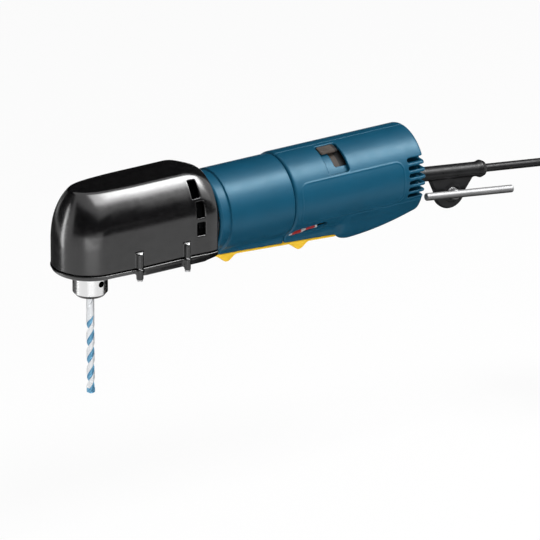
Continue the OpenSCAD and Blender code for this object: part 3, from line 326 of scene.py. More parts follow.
LOOKS = {
    "black_plastic": moulded("black_plastic", (0.004, 0.004, 0.0043), 0.21, grain=0.000010, specular=0.75),
    "blue_plastic": moulded("blue_plastic", (0.0045, 0.064, 0.118), 0.36, grain=0.000022, specular=0.28,
                            gleam=(0.6, 0.88, 1)),
    "yellow_plastic": moulded("yellow_plastic", (0.92, 0.56, 0.012), 0.42),
    "red_plastic": moulded("red_plastic", (0.42, 0.022, 0.018), 0.45),
    "grey_plastic": moulded("grey_plastic", (0.105, 0.092, 0.086), 0.48),
    "ivory_plastic": moulded("ivory_plastic", (0.5, 0.46, 0.36), 0.5),
    "cast_alloy": machined("cast_alloy", (0.42, 0.43, 0.44), 0.5, line=0.00006),
    "steel": machined("steel", (0.52, 0.52, 0.53), 0.3),
    "dark_steel": machined("dark_steel", (0.12, 0.12, 0.125), 0.42),
    "bright_chrome": machined("bright_chrome", (0.78, 0.78, 0.78), 0.2, line=0.000003),
    "bit_steel": machined("bit_steel", (0.78, 0.78, 0.78), 0.2, brush_axis=2, line=0.000003),
    "copper": wound("copper", (0.62, 0.26, 0.1)),
    "carbon": moulded("carbon", (0.015, 0.015, 0.016), 0.6),
    "brass": machined("brass", (0.68, 0.46, 0.16), 0.3),
    "black_rubber": rubbery("black_rubber", (0.009, 0.009, 0.0095), 0.33),
    "key_steel": machined("key_steel", (0.26, 0.26, 0.263), 0.55),
}
for part in frame["record"]["subparts"]:
    node = frame["nodes"][part["node"]]
    node.data.materials.clear()
    node.data.materials.append(LOOKS[part["material_slot"]])
# The fan is dark plastic; the bearing plate and gear plate are drawn black too, so that the inside seen
# through the head's vents is dark: painted shade.
for name in ("cooling_fan", "bearing_plate", "gear_plate"):
    frame["nodes"][name].data.materials[0] = LOOKS["black_plastic"]


def chrome_bore_shade(node, axis, depth):
    """Bright chrome, painted near black in the bores below a depth under the turned outside: painted shade in
    the holes.
    """
    n = Nodes("chrome_bore_shade")
    low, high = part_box(node)
    outside = (high[0] - low[0]) / 2
    bright = n.step(n.off_axis(axis), outside - depth, outside - depth * 0.9)
    # Painted shade: below the depth the bores are coloured near black for the shade inside the holes.
    n.feed("Base Color", n.tint(bright, (0.03, 0.028, 0.026), (0.78, 0.78, 0.78)))
    n.feed("Roughness", n.span(n.noise(900, 3), 0.16, 0.26))
    n.bump(n.noise(1800, 3), 0.000003)
    n.fix(Metallic=1.0)
    return n.look


# Depth under the turned outside at which the painted bore shade begins.
BORE_SHADE_DEPTH = 3.2 * MM
frame["nodes"]["chuck_body"].data.materials[0] = chrome_bore_shade("chuck_body", SPINDLE, BORE_SHADE_DEPTH)


# Cord: the hanging lead, the coil tied for storage, and the tail to the plug

CORD_D = 6.5
LEAD_POINTS = [(355.6, -19), (372, -20.92), (392, -23.27), (423.5, -27), (430.7, -28.77), (437.3, -32.2),
               (443, -37.4), (447.2, -44.2), (449.4, -51.2), (450, -58.2)]
COIL_X, COIL_Z = 450, -130.2
COIL_TURNS, COIL_LAYERS = 2.5, 4
COIL_IN_R, COIL_PITCH = 29, 6.9
COIL_STEPS = 36
JOIN_BEND_R, JOIN_RUN, JOIN_STEPS = 28, 2 * CORD_D, 7
TAIL_LEN = 40
join_radii = JOIN_BEND_R + COIL_IN_R + COIL_PITCH * COIL_TURNS
join_turn = math.acos(JOIN_BEND_R / math.hypot(join_radii, JOIN_RUN)) - math.atan(JOIN_RUN / join_radii)
join_z = COIL_Z + join_radii * math.sin(join_turn) + JOIN_RUN * math.cos(join_turn)


def coil_at(turn):
    """Place on the coil: it spirals in and out, and climbs a layer where it reverses."""
    whole = COIL_LAYERS * COIL_TURNS
    swing = COIL_TURNS + turn - whole if turn > whole else abs(COIL_TURNS - turn % (2 * COIL_TURNS))
    nearest = math.floor(turn / COIL_TURNS + 0.5)
    off = turn - nearest * COIL_TURNS
    if nearest < 1:
        climb = 0
    elif nearest >= COIL_LAYERS:
        climb = COIL_LAYERS - 1
    else:
        climb = nearest - 1 + min(max(0.5 + 2 * off, 0), 1)
    r = COIL_IN_R + COIL_PITCH * swing
    a = math.pi - join_turn + 2 * math.pi * turn
    return COIL_X + COIL_PITCH * climb, r * math.cos(a), COIL_Z + r * math.sin(a)


def cord_route():
    route = [(x, 0, z) for x, z in LEAD_POINTS]
    for i in range(JOIN_STEPS + 1):
        a = join_turn * i / JOIN_STEPS
        route.append((COIL_X, JOIN_BEND_R * (math.cos(a) - 1), join_z - JOIN_BEND_R * math.sin(a)))
    total = COIL_LAYERS * COIL_TURNS + join_turn / (2 * math.pi)
    route += [coil_at(i / COIL_STEPS) for i in range(int(total * COIL_STEPS) + 1)]
    x, y, z = coil_at(total)
    route += [(x, y, z - CORD_D), (x, y, z - CORD_D - TAIL_LEN / 2), (x, y, z - CORD_D - TAIL_LEN)]
    return to_frame(route)


def cord_piece():
    route = cord_route()
    curve = bpy.data.curves.new("mains_cord", "CURVE")
    curve.dimensions = "3D"
    curve.bevel_depth = CORD_D / 2 * MM
    curve.bevel_resolution = 5
    curve.use_fill_caps = True
    spline = curve.splines.new("POLY")
    spline.points.add(len(route) - 1)
    for point, place in zip(spline.points, route):
        point.co = (*place, 1)
    spline.use_smooth = True
    curve.materials.append(LOOKS["black_rubber"])
    made = bpy.data.objects.new("mains_cord", curve)
    bpy.context.scene.collection.objects.link(made)
    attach(made, "housing")
    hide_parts("power_cord", "cord_coil", "cord_tail")
    return made, route


lead, lead_route = cord_piece()


# Angle head: a black cover over a shallow base, split along a level seam

NOSE_R, FLANK_W, HEAD_TOP, HEAD_LOW = 29.9, 31.2, 42.0, -25.0
FLANK_FROM, FLANK_TO, SWELL, SWELL_FROM, SWELL_TO = 0.0, 30.0, 1.4, 70.0, 92.0
HEAD_END, RIM_HOLE_R, RIM_FROM = 95.8, 28.0, 90.0
SEAM_Z, SEAM_GAP = -20.0, 0.4
TRAY_LOW, TRAY_FROM, TRAY_TO, TRAY_W, TRAY_SLOPE = -27.8, 27.4, 84.0, 30.4, 0.3
LIP_OUT, LIP_TALL = 0.45, 1.5
HEAD_WALL, TRAY_WALL = 2.4, 2.2
CROWN_CENTRE, CROWN_LEN, CROWN_SQUARE, CROWN_BEND = 13.8, 30.0, 0.4, 1.9
SHOULDER_R, SHOULDER_FROM = 40.0, 10.5
REAR_HALF_W, REAR_TALL, REAR_SLOPE = 33.0, 37.8, 0.58
# Each lug's place, distance out, radius, top and bottom
LUGS = ((25.0, 31.6, 2.75, -7.5, -28.8), (67.0, 32.2, 2.45, -8.5, -29.8))
COVER_LUG_RAISED = 8.8
# Each vent's place, angle up the flank and height
VENTS = ((80.0, 1, 10.5), (79.5, 28, 12.0), (77.0, 52, 13.5))
VENT_W, VENT_INNER = 6.8, 20.0
CHUCK_OPENING_R = 18.6


def head_outer(x, y, z):
    """Round nose and straight flanks that arch in to a flat crown, drawn in to an oval at the rear."""
    lean = np.clip(z / HEAD_TOP, 0, 1.1) ** CROWN_BEND
    centre = CROWN_CENTRE * lean
    length = NOSE_R + (CROWN_LEN - NOSE_R) * lean
    flank_w = NOSE_R + (FLANK_W - NOSE_R) * ramp(x, FLANK_FROM, FLANK_TO)
    flank_w = flank_w + SWELL * ramp(x, SWELL_FROM, SWELL_TO)
    rise = np.clip(z - SHOULDER_FROM, 0, SHOULDER_R * 0.9)
    width = flank_w - SHOULDER_R + np.sqrt(SHOULDER_R ** 2 - rise ** 2)
    square = 2 + CROWN_SQUARE * lean
    ahead = np.maximum(centre - x, 0) / length
    plan = width * ((ahead ** square + (np.abs(y) / width) ** square) ** (1 / square) - 1)
    body = both(plan, z - HEAD_TOP, 0.9)
    oval = np.hypot(y / REAR_HALF_W, np.maximum(z, 0) / REAR_TALL) - 1
    body = both(body, oval * REAR_HALF_W - REAR_SLOPE * (HEAD_END - x), 3.5)
    body = both(body, x - HEAD_END, 1.2)
    return both(body, HEAD_LOW - z, 2.2)


def rim_hole(x, y, z):
    return np.hypot(y, z) - RIM_HOLE_R + FAR * (x < RIM_FROM)


def head_slots(x, y, z):
    slots = np.full(np.shape(x), FAR)
    for place, angle, tall in VENTS:
        out, across = flank(-np.abs(y), z, angle)
        slot = both(block(x - place, across, VENT_W / 2, tall / 2, 0.8), VENT_INNER - out)
        slots = np.minimum(slots, slot)
    return slots


def head_lugs(x, y, z, raised):
    lugs = np.full(np.shape(x), FAR)
    for place, side, r, top, low in LUGS:
        lug = both(np.hypot(x - place, np.abs(y) - side) - r, between(z, low + raised, top), 0.5)
        lugs = np.minimum(lugs, lug)
    return lugs


def head_cover_field(x, y, z):
    outer = head_outer(x, y, z)
    wall = both(outer, -(outer + HEAD_WALL))
    wall = cut(wall, rim_hole(x, y, z))
    wall = either(wall, head_lugs(x, y, z, COVER_LUG_RAISED), 0.9)
    wall = cut(wall, head_slots(x, y, z), 0.5)
    return both(wall, SEAM_Z + SEAM_GAP - z, 0.5)


def head_base_field(x, y, z):
    outer = head_outer(x, y, z)
    rise = np.maximum(x - TRAY_TO, 0) * TRAY_SLOPE
    step = both(between(x, TRAY_FROM, HEAD_END), np.abs(y) - TRAY_W, 2.0)
    step = both(step, between(z, TRAY_LOW, SEAM_Z) + rise, 1.0)
    tray = either(outer, step, 1.2)
    lip = both(outer - LIP_OUT, between(z, SEAM_Z - LIP_TALL, SEAM_Z), 0.4)
    tray = either(tray, lip, 0.5)
    tray = cut(tray, both(outer + HEAD_WALL, HEAD_LOW + TRAY_WALL - z))
    tray = either(tray, head_lugs(x, y, z, 0.0), 0.9)
    tray = cut(tray, np.hypot(x, y) - CHUCK_OPENING_R, 0.6)
    tray = cut(tray, rim_hole(x, y, z))
    return both(tray, z - SEAM_Z + SEAM_GAP, 0.5)


head_cover = form("head_shell", head_cover_field, (-33, -37, -23), (99, 37, 44), LOOKS["black_plastic"],
                  step=(0.8, 0.8, 0.8))
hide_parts("head_cover")
head_base = form("head_tray", head_base_field, (-33, -37, -31), (99, 37, -18), LOOKS["black_plastic"],
                 step=(0.8, 0.8, 0.6))
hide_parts("head_base")


# Grip: the front motor housing and the two rear half shells

TUBE_R, REAR_R, WALL = 32.3, 33.5, 2.8
TUBE_X, REAR_X, END_X = 97.0, 164.0, 281.5
COLLAR_END, CHAMFER_END = 106.8, 99.2
NECK_SLOPE, NECK_STEP, NECK_EDGE = 0.19, 0.15, (-0.8, 0.6)
COLLAR_EDGE, CHAMFER_DEPTH = 0.5, 0.8
JOINT_GAP = 0.15
KEEL_W, KEEL_FROM, KEEL_TO, KEEL_LAP = 28.4, 100.0, 208.0, 4.0
KEEL_FRONT, KEEL_RISE = 32.0, 6.3
RECESS_W, RECESS_DEPTH, RECESS_FROM, RECESS_TO = 24.5, 30.9, 101.2, 216.0
BELLY_W, BELLY_LOW, BELLY_FROM, BELLY_FLAT_TO, BELLY_END = 32.0, 45.0, 217.5, 243.7, 275.1
BELLY_END_Z, BELLY_FLARE, BELLY_TOP = -33.6, 0.42, -20.0
BELLY_STEP, BELLY_FRONT_WAY = 6.0, (0.6, 0.8)
PANEL_X, PANEL_HALF, PANEL_RISE, PANEL_R = 216.0, 46.0, 16.5, 6.5
RIB_TALL, RIB_HALF, RIB_SIDE = 0.26, 0.65, 12.0
INLET_COUNT, INLET_PITCH, INLET_TOP, INLET_H, INLET_X = 6, 5.7, 15.4, 3.3, 266.5
INLET_HALF, INLET_SIDE = 20.0, 23.0
POCKET_X, POCKET_LEN, POCKET_LOW, POCKET_HIGH = 197.5, 18.0, 33.0, 83.0
LOCK_X, LOCK_ANGLE, LOCK_TILT, LOCK_LEN, LOCK_H = 182.0, -50.5, 8.0, 32.0, 12.6
CUT_INNER = 24.0
RELIEF_Z, RELIEF_HOLE, RELIEF_HOLE_FROM = -10.0, 7.0, 260.0
SUNK_IN_R, SUNK_OUT_R, SUNK_LAP, SUNK_LAP_TURN = 28.6, 30.2, 1.0, 2.0
SLOT_X, SLOT_W, SLOT_LOW = 208.5, 5.6, 44.0


def keel_depth(x):
    return KEEL_FRONT + KEEL_RISE * (x - KEEL_FROM) / (KEEL_TO - KEEL_FROM)


def keel(x, y, z):
    bar = both(np.abs(y) - KEEL_W / 2, -z - keel_depth(x), 0.8)
    return both(both(bar, between(x, KEEL_FROM, KEEL_TO + KEEL_LAP), 0.8), z)


def paddle_channel(x, y, z):
    channel = both(np.abs(y) - RECESS_W / 2, z + RECESS_DEPTH)
    return both(channel, between(x, RECESS_FROM, RECESS_TO))


def motor_housing_field(x, y, z):
    radius = np.hypot(y, z)
    neck = NECK_STEP + NECK_SLOPE * (x - CHAMFER_END)
    neck = neck * (1 - ramp(x, COLLAR_END - COLLAR_EDGE, COLLAR_END + COLLAR_EDGE))
    dip = neck * ramp(x, CHAMFER_END + NECK_EDGE[0], CHAMFER_END + NECK_EDGE[1])
    dip = dip + CHAMFER_DEPTH * (1 - ramp(x, TUBE_X, CHAMFER_END))
    tube = either(radius - TUBE_R + dip, keel(x, y, z), 2.2)
    tube = both(tube, between(x, TUBE_X + JOINT_GAP, REAR_X - JOINT_GAP), 0.5)
    tube = cut(tube, radius - (TUBE_R - WALL))
    return cut(tube, paddle_channel(x, y, z), 0.3)


def belly(x, y, z):
    """Switch bulge: level bottom, a slope up to the rear, and rounded flanks."""
    slope = math.atan2(BELLY_LOW + BELLY_END_Z, BELLY_END - BELLY_FLAT_TO)
    rear = (x - BELLY_FLAT_TO) * math.sin(slope) - (z + BELLY_LOW) * math.cos(slope)
    under = both(-z - BELLY_LOW, rear, 5.0)
    run, rise = BELLY_FRONT_WAY
    front = both((BELLY_FROM - x) * run - (z + BELLY_LOW) * rise, BELLY_FROM - BELLY_STEP - x, 2.0)
    bulge = both(under, front, 2.0)
    side = (np.abs(y) - BELLY_W / 2 - BELLY_FLARE * (z + BELLY_LOW)) / math.hypot(1, BELLY_FLARE)
    return both(both(bulge, side, 4.0), z - BELLY_TOP)


def inlets(x, y, z):
    slots = np.full(np.shape(x), FAR)
    for k in range(INLET_COUNT):
        level = z - INLET_TOP + k * INLET_PITCH
        slot = block(x - INLET_X - INLET_HALF, level, INLET_HALF, INLET_H / 2, INLET_H / 2)
        slots = np.minimum(slots, slot)
    return both(slots, INLET_SIDE - np.abs(y))


def barrel_angle(y, z):
    """Degrees up from the photographed side, about the motor axis."""
    return np.degrees(np.arctan2(z, -y))


def pocket(x, y, z):
    mid, half = (POCKET_LOW + POCKET_HIGH) / 2, (POCKET_HIGH - POCKET_LOW) / 2
    across = np.radians(barrel_angle(y, z) - mid) * REAR_R
    window = block(x - POCKET_X - POCKET_LEN / 2, across, POCKET_LEN / 2, math.radians(half) * REAR_R, 2.0)
    return both(window, CUT_INNER - np.hypot(y, z))


def pocket_floor(x, y, z):
    """Sunk floor of the pocket, with the slot in which the lever's stem runs."""
    angle = barrel_angle(y, z)
    plate = between(np.hypot(y, z), SUNK_IN_R, SUNK_OUT_R)
    plate = both(plate, between(x, POCKET_X - SUNK_LAP, POCKET_X + POCKET_LEN + SUNK_LAP))
    reach = between(angle, POCKET_LOW - SUNK_LAP_TURN, POCKET_HIGH + SUNK_LAP_TURN)
    plate = both(plate, np.radians(reach) * REAR_R)
    across = np.radians(angle - SLOT_LOW) * REAR_R
    slot = both(SLOT_X - SLOT_W / 2 - x, -across, 1.0)
    return cut(plate, slot, 0.2)


def lock_place(x, y, z):
    """Distance out at the lock slide, and place along and across its tilted slot."""
    out, across = flank(y, z, LOCK_ANGLE)
    along, rise = turned(x - LOCK_X, across, LOCK_TILT)
    return out, along, rise


def lock_slot(x, y, z):
    out, along, rise = lock_place(x, y, z)
    return both(block(along, rise, LOCK_LEN / 2, LOCK_H / 2, LOCK_H / 2), CUT_INNER - out)


def rear_outer(x, y, z):
    """Barrel with the panel's fine rib, the keel and the belly."""
    radius = np.hypot(y, z)
    edge = block(x - PANEL_X, z, PANEL_HALF, PANEL_RISE, PANEL_R)
    rib = RIB_TALL * np.exp(-(edge / RIB_HALF) ** 2) * (np.abs(y) > RIB_SIDE)
    barrel = either(radius - REAR_R - rib, keel(x, y, z), 2.2)
    barrel = either(barrel, belly(x, y, z), 1.5)
    return both(barrel, between(x, REAR_X + JOINT_GAP, END_X), 1.4)


def rear_field(x, y, z):
    """Both half shells as one, with the channel, the air inlets and the cord's hole."""
    outer = rear_outer(x, y, z)
    inside = both(outer + WALL, x - END_X + WALL)
    shell = cut(outer, inside)
    shell = cut(shell, paddle_channel(x, y, z), 0.3)
    shell = cut(shell, inlets(x, y, z), 0.5)
    hole = both(np.hypot(y, z - RELIEF_Z) - RELIEF_HOLE, RELIEF_HOLE_FROM - x)
    return cut(shell, hole, 0.5)


def rear_left_field(x, y, z):
    shell = cut(rear_field(x, y, z), pocket(x, y, z), 0.6)
    shell = either(shell, pocket_floor(x, y, z), 0.3)
    shell = cut(shell, lock_slot(x, y, z), 0.4)
    return both(shell, y + JOINT_GAP / 2, 0.2)


def rear_right_field(x, y, z):
    return both(rear_field(x, y, z), JOINT_GAP / 2 - y, 0.2)


housing = form("grip_tube", motor_housing_field, (95.5, -35, -40), (165.5, 35, 34.5), LOOKS["blue_plastic"],
               step=(0.7, 0.8, 0.8))
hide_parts("motor_housing")
left = form("grip_shell_left", rear_left_field, (162.5, -37, -47.5), (283.5, 1.5, 35.5),
            LOOKS["blue_plastic"], step=(0.65, 0.65, 0.65))
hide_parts("rear_shell_left")
right = form("grip_shell_right", rear_right_field, (162.5, -1.5, -47.5), (283.5, 37, 35.5),
             LOOKS["blue_plastic"], step=(0.65, 0.65, 0.65))
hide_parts("rear_shell_right")


# Controls: the paddle, the reversing lever and the lock slide

PADDLE_X, PADDLE_END, PADDLE_W = 103.0, 215.0, 23.9
PADDLE_SHOW, PADDLE_SLOPE = 2.8, math.tan(math.radians(2))
PADDLE_TOP, PADDLE_PIN_X = 32.2, 106.0
PADDLE_INSET, PADDLE_RIM = 1.8, 1.0
STOPS, STOP_H, STOP_HALF = (115.0, 180.0), 5.3, 9.5
SHIELD_R, SHIELD_T, SHIELD_AHEAD, SHIELD_BEHIND, SHIELD_LAP_TURN = 28.3, 1.4, 1.2, 5.0, 2.0
TAB_LOW, TAB_HIGH, TAB_R, TAB_FOOT_R = 66.5, 82.0, 33.1, 31.3
TAB_AHEAD, TAB_BEHIND = 1.2, 1.4
TAB_RIB_R, TAB_RIB, TAB_RIB_PITCH = 32.5, 0.176, 1.6
STEM_LOW, STEM_GAP, STEM_SPAN = 75.0, 0.4, (27.3, 31.8)
LEVER_TURN = 29.0
LOCK_TRAVEL, LOCK_GAP = 8.0, 0.35
LOCK_WAVE, LOCK_BEND, LOCK_RIDGE_HALF, LOCK_RIDGE_AT = 1.9, 0.8, 1.9, -1.0
LOCK_FOOT, LOCK_RIDGE_TOP, LOCK_STRIP_TOP = 26.5, 33.0, 29.1
PALE_PITCH, PALE_EDGES = 5.0, (1.5, 0.9)


def paddle_field(x, y, z):
    drop = np.zeros(np.shape(x))
    for at in STOPS:
        near = np.clip((x - at) / STOP_HALF, -1, 1)
        drop = drop + STOP_H * np.cos(near * math.pi / 2) ** 2
    under = -z - keel_depth(x) - PADDLE_SHOW - drop
    over = z + PADDLE_TOP + (x - PADDLE_PIN_X) * PADDLE_SLOPE
    bar = both(under, over, 0.6)
    bar = both(bar, between(x, PADDLE_X, PADDLE_END), 1.8)
    inset = PADDLE_INSET * (-z < keel_depth(x) + PADDLE_RIM)
    return both(bar, np.abs(y) - PADDLE_W / 2 + inset, 0.8)


def lever_field(x, y, z):
    """Cover strip under the pocket, the ribbed finger tab in it, and the stem that joins them."""
    radius = np.hypot(y, z)
    angle = barrel_angle(y, z)
    shield = between(radius, SHIELD_R - SHIELD_T, SHIELD_R)
    shield = both(shield, between(x, POCKET_X - SHIELD_AHEAD, POCKET_X + POCKET_LEN + SHIELD_BEHIND))
    reach = between(angle, POCKET_LOW - SHIELD_LAP_TURN, POCKET_HIGH + LEVER_TURN)
    shield = both(shield, np.radians(reach) * SHIELD_R, 0.2)
    ribs = TAB_RIB * np.cos(np.radians(angle - TAB_LOW) * SHIELD_R * 2 * math.pi / TAB_RIB_PITCH)
    tab = between(radius, TAB_FOOT_R, TAB_R) + np.where(radius > TAB_RIB_R, ribs, 0)
    tab = both(tab, np.radians(between(angle, TAB_LOW, TAB_HIGH)) * SHIELD_R, 0.5)
    tab = both(tab, between(x, POCKET_X + TAB_AHEAD, POCKET_X + POCKET_LEN - TAB_BEHIND), 0.7)
    stem = both(between(radius, *STEM_SPAN), np.abs(x - SLOT_X) - SLOT_W / 2 + STEM_GAP)
    stem = both(stem, np.radians(between(angle, STEM_LOW, TAB_HIGH)) * SHIELD_R)
    return np.minimum(np.minimum(shield, tab), stem)


def lock_field(x, y, z):
    """A strip at the front end of its slot, with an S shaped ridge on it."""
    out, along, rise = lock_place(x, y, z)
    middle = along + LOCK_TRAVEL / 2
    wave = LOCK_WAVE * np.tanh(middle * LOCK_BEND) + LOCK_RIDGE_AT
    ridge = both(np.abs(rise - wave) - LOCK_RIDGE_HALF, between(out, LOCK_FOOT, LOCK_RIDGE_TOP), 0.4)
    strip = both(np.abs(rise) - LOCK_H / 2 + LOCK_GAP, between(out, LOCK_FOOT, LOCK_STRIP_TOP), 0.3)
    half = (LOCK_LEN - LOCK_TRAVEL) / 2 - LOCK_GAP
    return both(either(ridge, strip, 0.3), np.abs(middle) - half, 0.6)


def lever_look():
    """Brown-grey lever whose cover strip is painted near black past the rear edge of the stem's slot: painted
    shadow of the pocket's rear wall.
    """
    n = Nodes("lever_grey")
    along = n.add("SeparateXYZ", Vector=n.place).outputs["X"]
    edge = SPINDLE.x + (SLOT_X + SLOT_W / 2) * MM
    # Painted shadow: past the slot's rear edge the cover strip is coloured near black.
    in_painted_shadow = n.step(along, edge - 0.3 * MM, edge + 0.3 * MM)
    n.feed("Base Color", n.tint(in_painted_shadow, (0.05, 0.04, 0.033), (0.004, 0.004, 0.004)))
    n.feed("Roughness", n.span(n.noise(160, 3), 0.6, 0.72))
    n.bump(n.noise(1400, 3), 0.00003)
    n.fix(Specular_IOR_Level=0.2)
    return n.look


def lock_look():
    """Red slide, pale at its ends and middle; the pale ends are painted highlights."""
    n = Nodes("lock_red")
    along = n.add("SeparateXYZ", Vector=n.place).outputs["X"]
    from_middle = calc(n.tree, "SUBTRACT", along, SPINDLE.x + (LOCK_X - LOCK_TRAVEL / 2) * MM)
    marks = calc(n.tree, "PINGPONG", from_middle, PALE_PITCH * MM)
    # Painted highlight: the pale patches at the slide's ends stand in for glints.
    pale = n.step(marks, PALE_EDGES[0] * MM, PALE_EDGES[1] * MM)
    n.feed("Base Color", n.tint(pale, (0.30, 0.012, 0.014), (0.42, 0.42, 0.42)))
    n.feed("Roughness", n.span(n.noise(300, 3), 0.35, 0.5))
    n.bump(n.noise(1500, 2), 0.00002)
    return n.look


paddle = form("paddle_bar", paddle_field, (101, -13.5, -48), (217, 13.5, -30), LOOKS["yellow_plastic"],
              "paddle_body", step=(0.7, 0.5, 0.5))
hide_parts("paddle")
lever = form("lever_tab", lever_field, (194.5, -29, 10), (222.5, 13, 35), lever_look(), "brush_gear",
             step=(0.4, 0.35, 0.35))
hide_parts("direction_lever")
lock = form("lock_bar", lock_field, (163, -31, -33), (194, -9, -11), lock_look(), "lock",
            step=(0.35, 0.3, 0.3))
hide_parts("lock_slide")


# Bit: bright shank, two helical flutes and a wider cutting tip

BIT_R, TIP_R, BIT_LEAD = 3.0, 3.2, 28.9
SHANK_LOW, TIP_TOP, TIP_LOW = -63.0, -122.5, -128.3
FLUTE_R, FLUTE_AT, FLUTE_FADE, FADE_LEN = 2.35, 3.35, 1.6, 7.0
LAND_R, BLADE_HALF, BIT_TOP = (2.72, 2.9), 0.7, -47.0
POINT_SLOPE, POINT_SCALE = 0.5, 0.87


def bit_field(x, y, z):
    radius = np.hypot(x, y)
    turn = 2 * math.pi * z / BIT_LEAD
    u = x * np.cos(turn) + y * np.sin(turn)
    v = y * np.cos(turn) - x * np.sin(turn)
    rod = radius - BIT_R - (TIP_R - BIT_R) * ramp(-z, -TIP_TOP - 1, -TIP_TOP)
    fade = FLUTE_FADE * (1 - ramp(-z, -SHANK_LOW, -SHANK_LOW + FADE_LEN))
    flutes = np.minimum(np.hypot(u - FLUTE_AT, v), np.hypot(u + FLUTE_AT, v)) - FLUTE_R + fade
    rod = cut(rod, flutes, 0.15)
    blade = both(np.abs(u) - BLADE_HALF, radius - TIP_R) + FAR * (z > TIP_TOP)
    rod = np.minimum(rod, blade)
    point = (radius * POINT_SLOPE - (z - TIP_LOW)) * POINT_SCALE
    return both(both(rod, point, 0.1), z - BIT_TOP)


def bit_look():
    """Blue coated flutes and tip, with bare lands and a bare shank."""
    n = Nodes("bit_finish")
    height = n.add("SeparateXYZ", Vector=n.place).outputs["Z"]
    land = n.step(n.off_axis(SPINDLE), LAND_R[0] * MM, LAND_R[1] * MM)
    shank = n.step(height, (SHANK_LOW - 1) * MM, SHANK_LOW * MM)
    above_tip = n.step(height, (TIP_TOP - 0.6) * MM, TIP_TOP * MM)
    bare = calc(n.tree, "MULTIPLY", calc(n.tree, "MAXIMUM", land, shank), above_tip)
    n.feed("Base Color", n.tint(bare, (0.15, 0.38, 0.57), (0.76, 0.78, 0.80)))
    n.feed("Roughness", n.span(n.noise(900, 3), 0.26, 0.4))
    n.bump(n.noise(2500, 2), 0.000006)
    n.fix(Metallic=0.55)
    return n.look


bit = form("drill_rod", bit_field, (-3.9, -3.9, -129), (3.9, 3.9, -46), bit_look(), "spindle_body",
           step=(0.2, 0.2, 0.3))
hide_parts("drill_bit")


# Rear end: strain relief with the key holder, and the chuck key in it

RELIEF_X, RELIEF_DROOP, RELIEF_FROM, RELIEF_LEN, RELIEF_R = 279.0, 6.7, -8.0, 77.0, 5.75
BEAD_AT, BEAD_R, BEAD_HALF = 72.8, 7.0, 3.4
KEY_ALONG, KEY_DROP = 48.0, -16.5
HOLDER_ALONG, HOLDER_DROP, HOLDER_R, HOLDER_T = 46.6, -16.0, 13.6, 6.0
HOLDER_FLARE, FLARE_TALL, HOLDER_TOP = 5.2, 9.0, -2.0
EYE_WALL, EYE_RAISED, KEY_PLAY = 2.6, 0.3, 0.35
# Radius and span across the tool of the key's hub, shank, toothed head and pilot
HUB_R, HUB_SPAN = 4.3, (-9.3, -3.35)
KEY_R, SHANK_SPAN, TEETH_SPAN = 4.6, (-3.5, 4.2), (3.8, 12.0)
KEY_TEETH, TOOTH_HALF, TOOTH_TAPER, TAPER_FROM = 10, 0.55, 0.12, 8.0
PILOT_R, PILOT_SPAN = 2.35, (10.0, 20.0)
BAR_R, BAR_Y, BAR_ENDS = 3.0, -8.5, ((297.0, -27.8), (376.4, -37.6))


def relief_place(x, z):
    """Place along the drooping strain relief, and height above its middle line."""
    return turned(x - RELIEF_X, z - RELIEF_Z, -RELIEF_DROOP)


def relief_field(x, y, z):
    along, rise = relief_place(x, z)
    off = np.hypot(y, rise)
    sleeve = both(off - RELIEF_R, between(along, RELIEF_FROM, RELIEF_LEN), 1.0)
    bead = both(off - BEAD_R, np.abs(along - BEAD_AT) - BEAD_HALF, 2.4)
    spread = HOLDER_R + HOLDER_FLARE * np.clip((rise - HOLDER_DROP) / FLARE_TALL, 0, 1.3)
    plate = np.hypot(along - HOLDER_ALONG, np.minimum(rise - HOLDER_DROP, 0)) - spread
    plate = both(both(plate, rise - HOLDER_TOP), np.abs(y) - HOLDER_T / 2, 1.0)
    from_key = np.hypot(along - KEY_ALONG, rise - KEY_DROP) - KEY_R
    eye = both(from_key - EYE_WALL, np.abs(y) - HOLDER_T / 2 - EYE_RAISED, 0.4)
    holder = cut(either(plate, eye, 0.5), from_key - KEY_PLAY, 0.3)
    return either(either(sleeve, bead, 0.6), holder, 0.35)


def key_field(x, y, z):
    along, rise = relief_place(x, z)
    off = np.hypot(along - KEY_ALONG, rise - KEY_DROP)
    turn = np.arctan2(rise - KEY_DROP, along - KEY_ALONG)
    hub = both(off - HUB_R, between(y, *HUB_SPAN), 0.8)
    shank = both(off - KEY_R, between(y, *SHANK_SPAN), 0.3)
    teeth = off - KEY_R + TOOTH_HALF * (1 + np.cos(KEY_TEETH * turn))
    teeth = teeth + TOOTH_TAPER * np.maximum(y - TAPER_FROM, 0)
    head = both(teeth, between(y, *TEETH_SPAN), 0.3)
    pilot = both(off - PILOT_R, between(y, *PILOT_SPAN), 0.7)
    return np.minimum(np.minimum(hub, shank), np.minimum(head, pilot))


def bar_field(x, y, z):
    (x0, z0), (x1, z1) = BAR_ENDS
    length = math.hypot(x1 - x0, z1 - z0)
    ux, uz = (x1 - x0) / length, (z1 - z0) / length
    along = (x - x0) * ux + (z - z0) * uz
    off = np.hypot(y - BAR_Y, (z - z0) * ux - (x - x0) * uz)
    return both(off - BAR_R, between(along, 0, length), 0.5)


relief = form("relief_sleeve", relief_field, (269, -9, -47), (358, 9, 2), LOOKS["black_rubber"])
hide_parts("strain_relief")
key = form("key_shank", key_field, (318, -11, -40), (334, 21.5, -24), LOOKS["key_steel"], "key",
           step=(0.4, 0.4, 0.4))
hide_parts("chuck_key")
bar = form("key_handle", bar_field, (292, -12.5, -43), (381, -4.5, -23), LOOKS["key_steel"], "key",
           step=(0.6, 0.4, 0.4))
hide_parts("key_bar")


# Small hardware: screw ends in the head's lugs, and the casting and the air ring tucked inside the shells

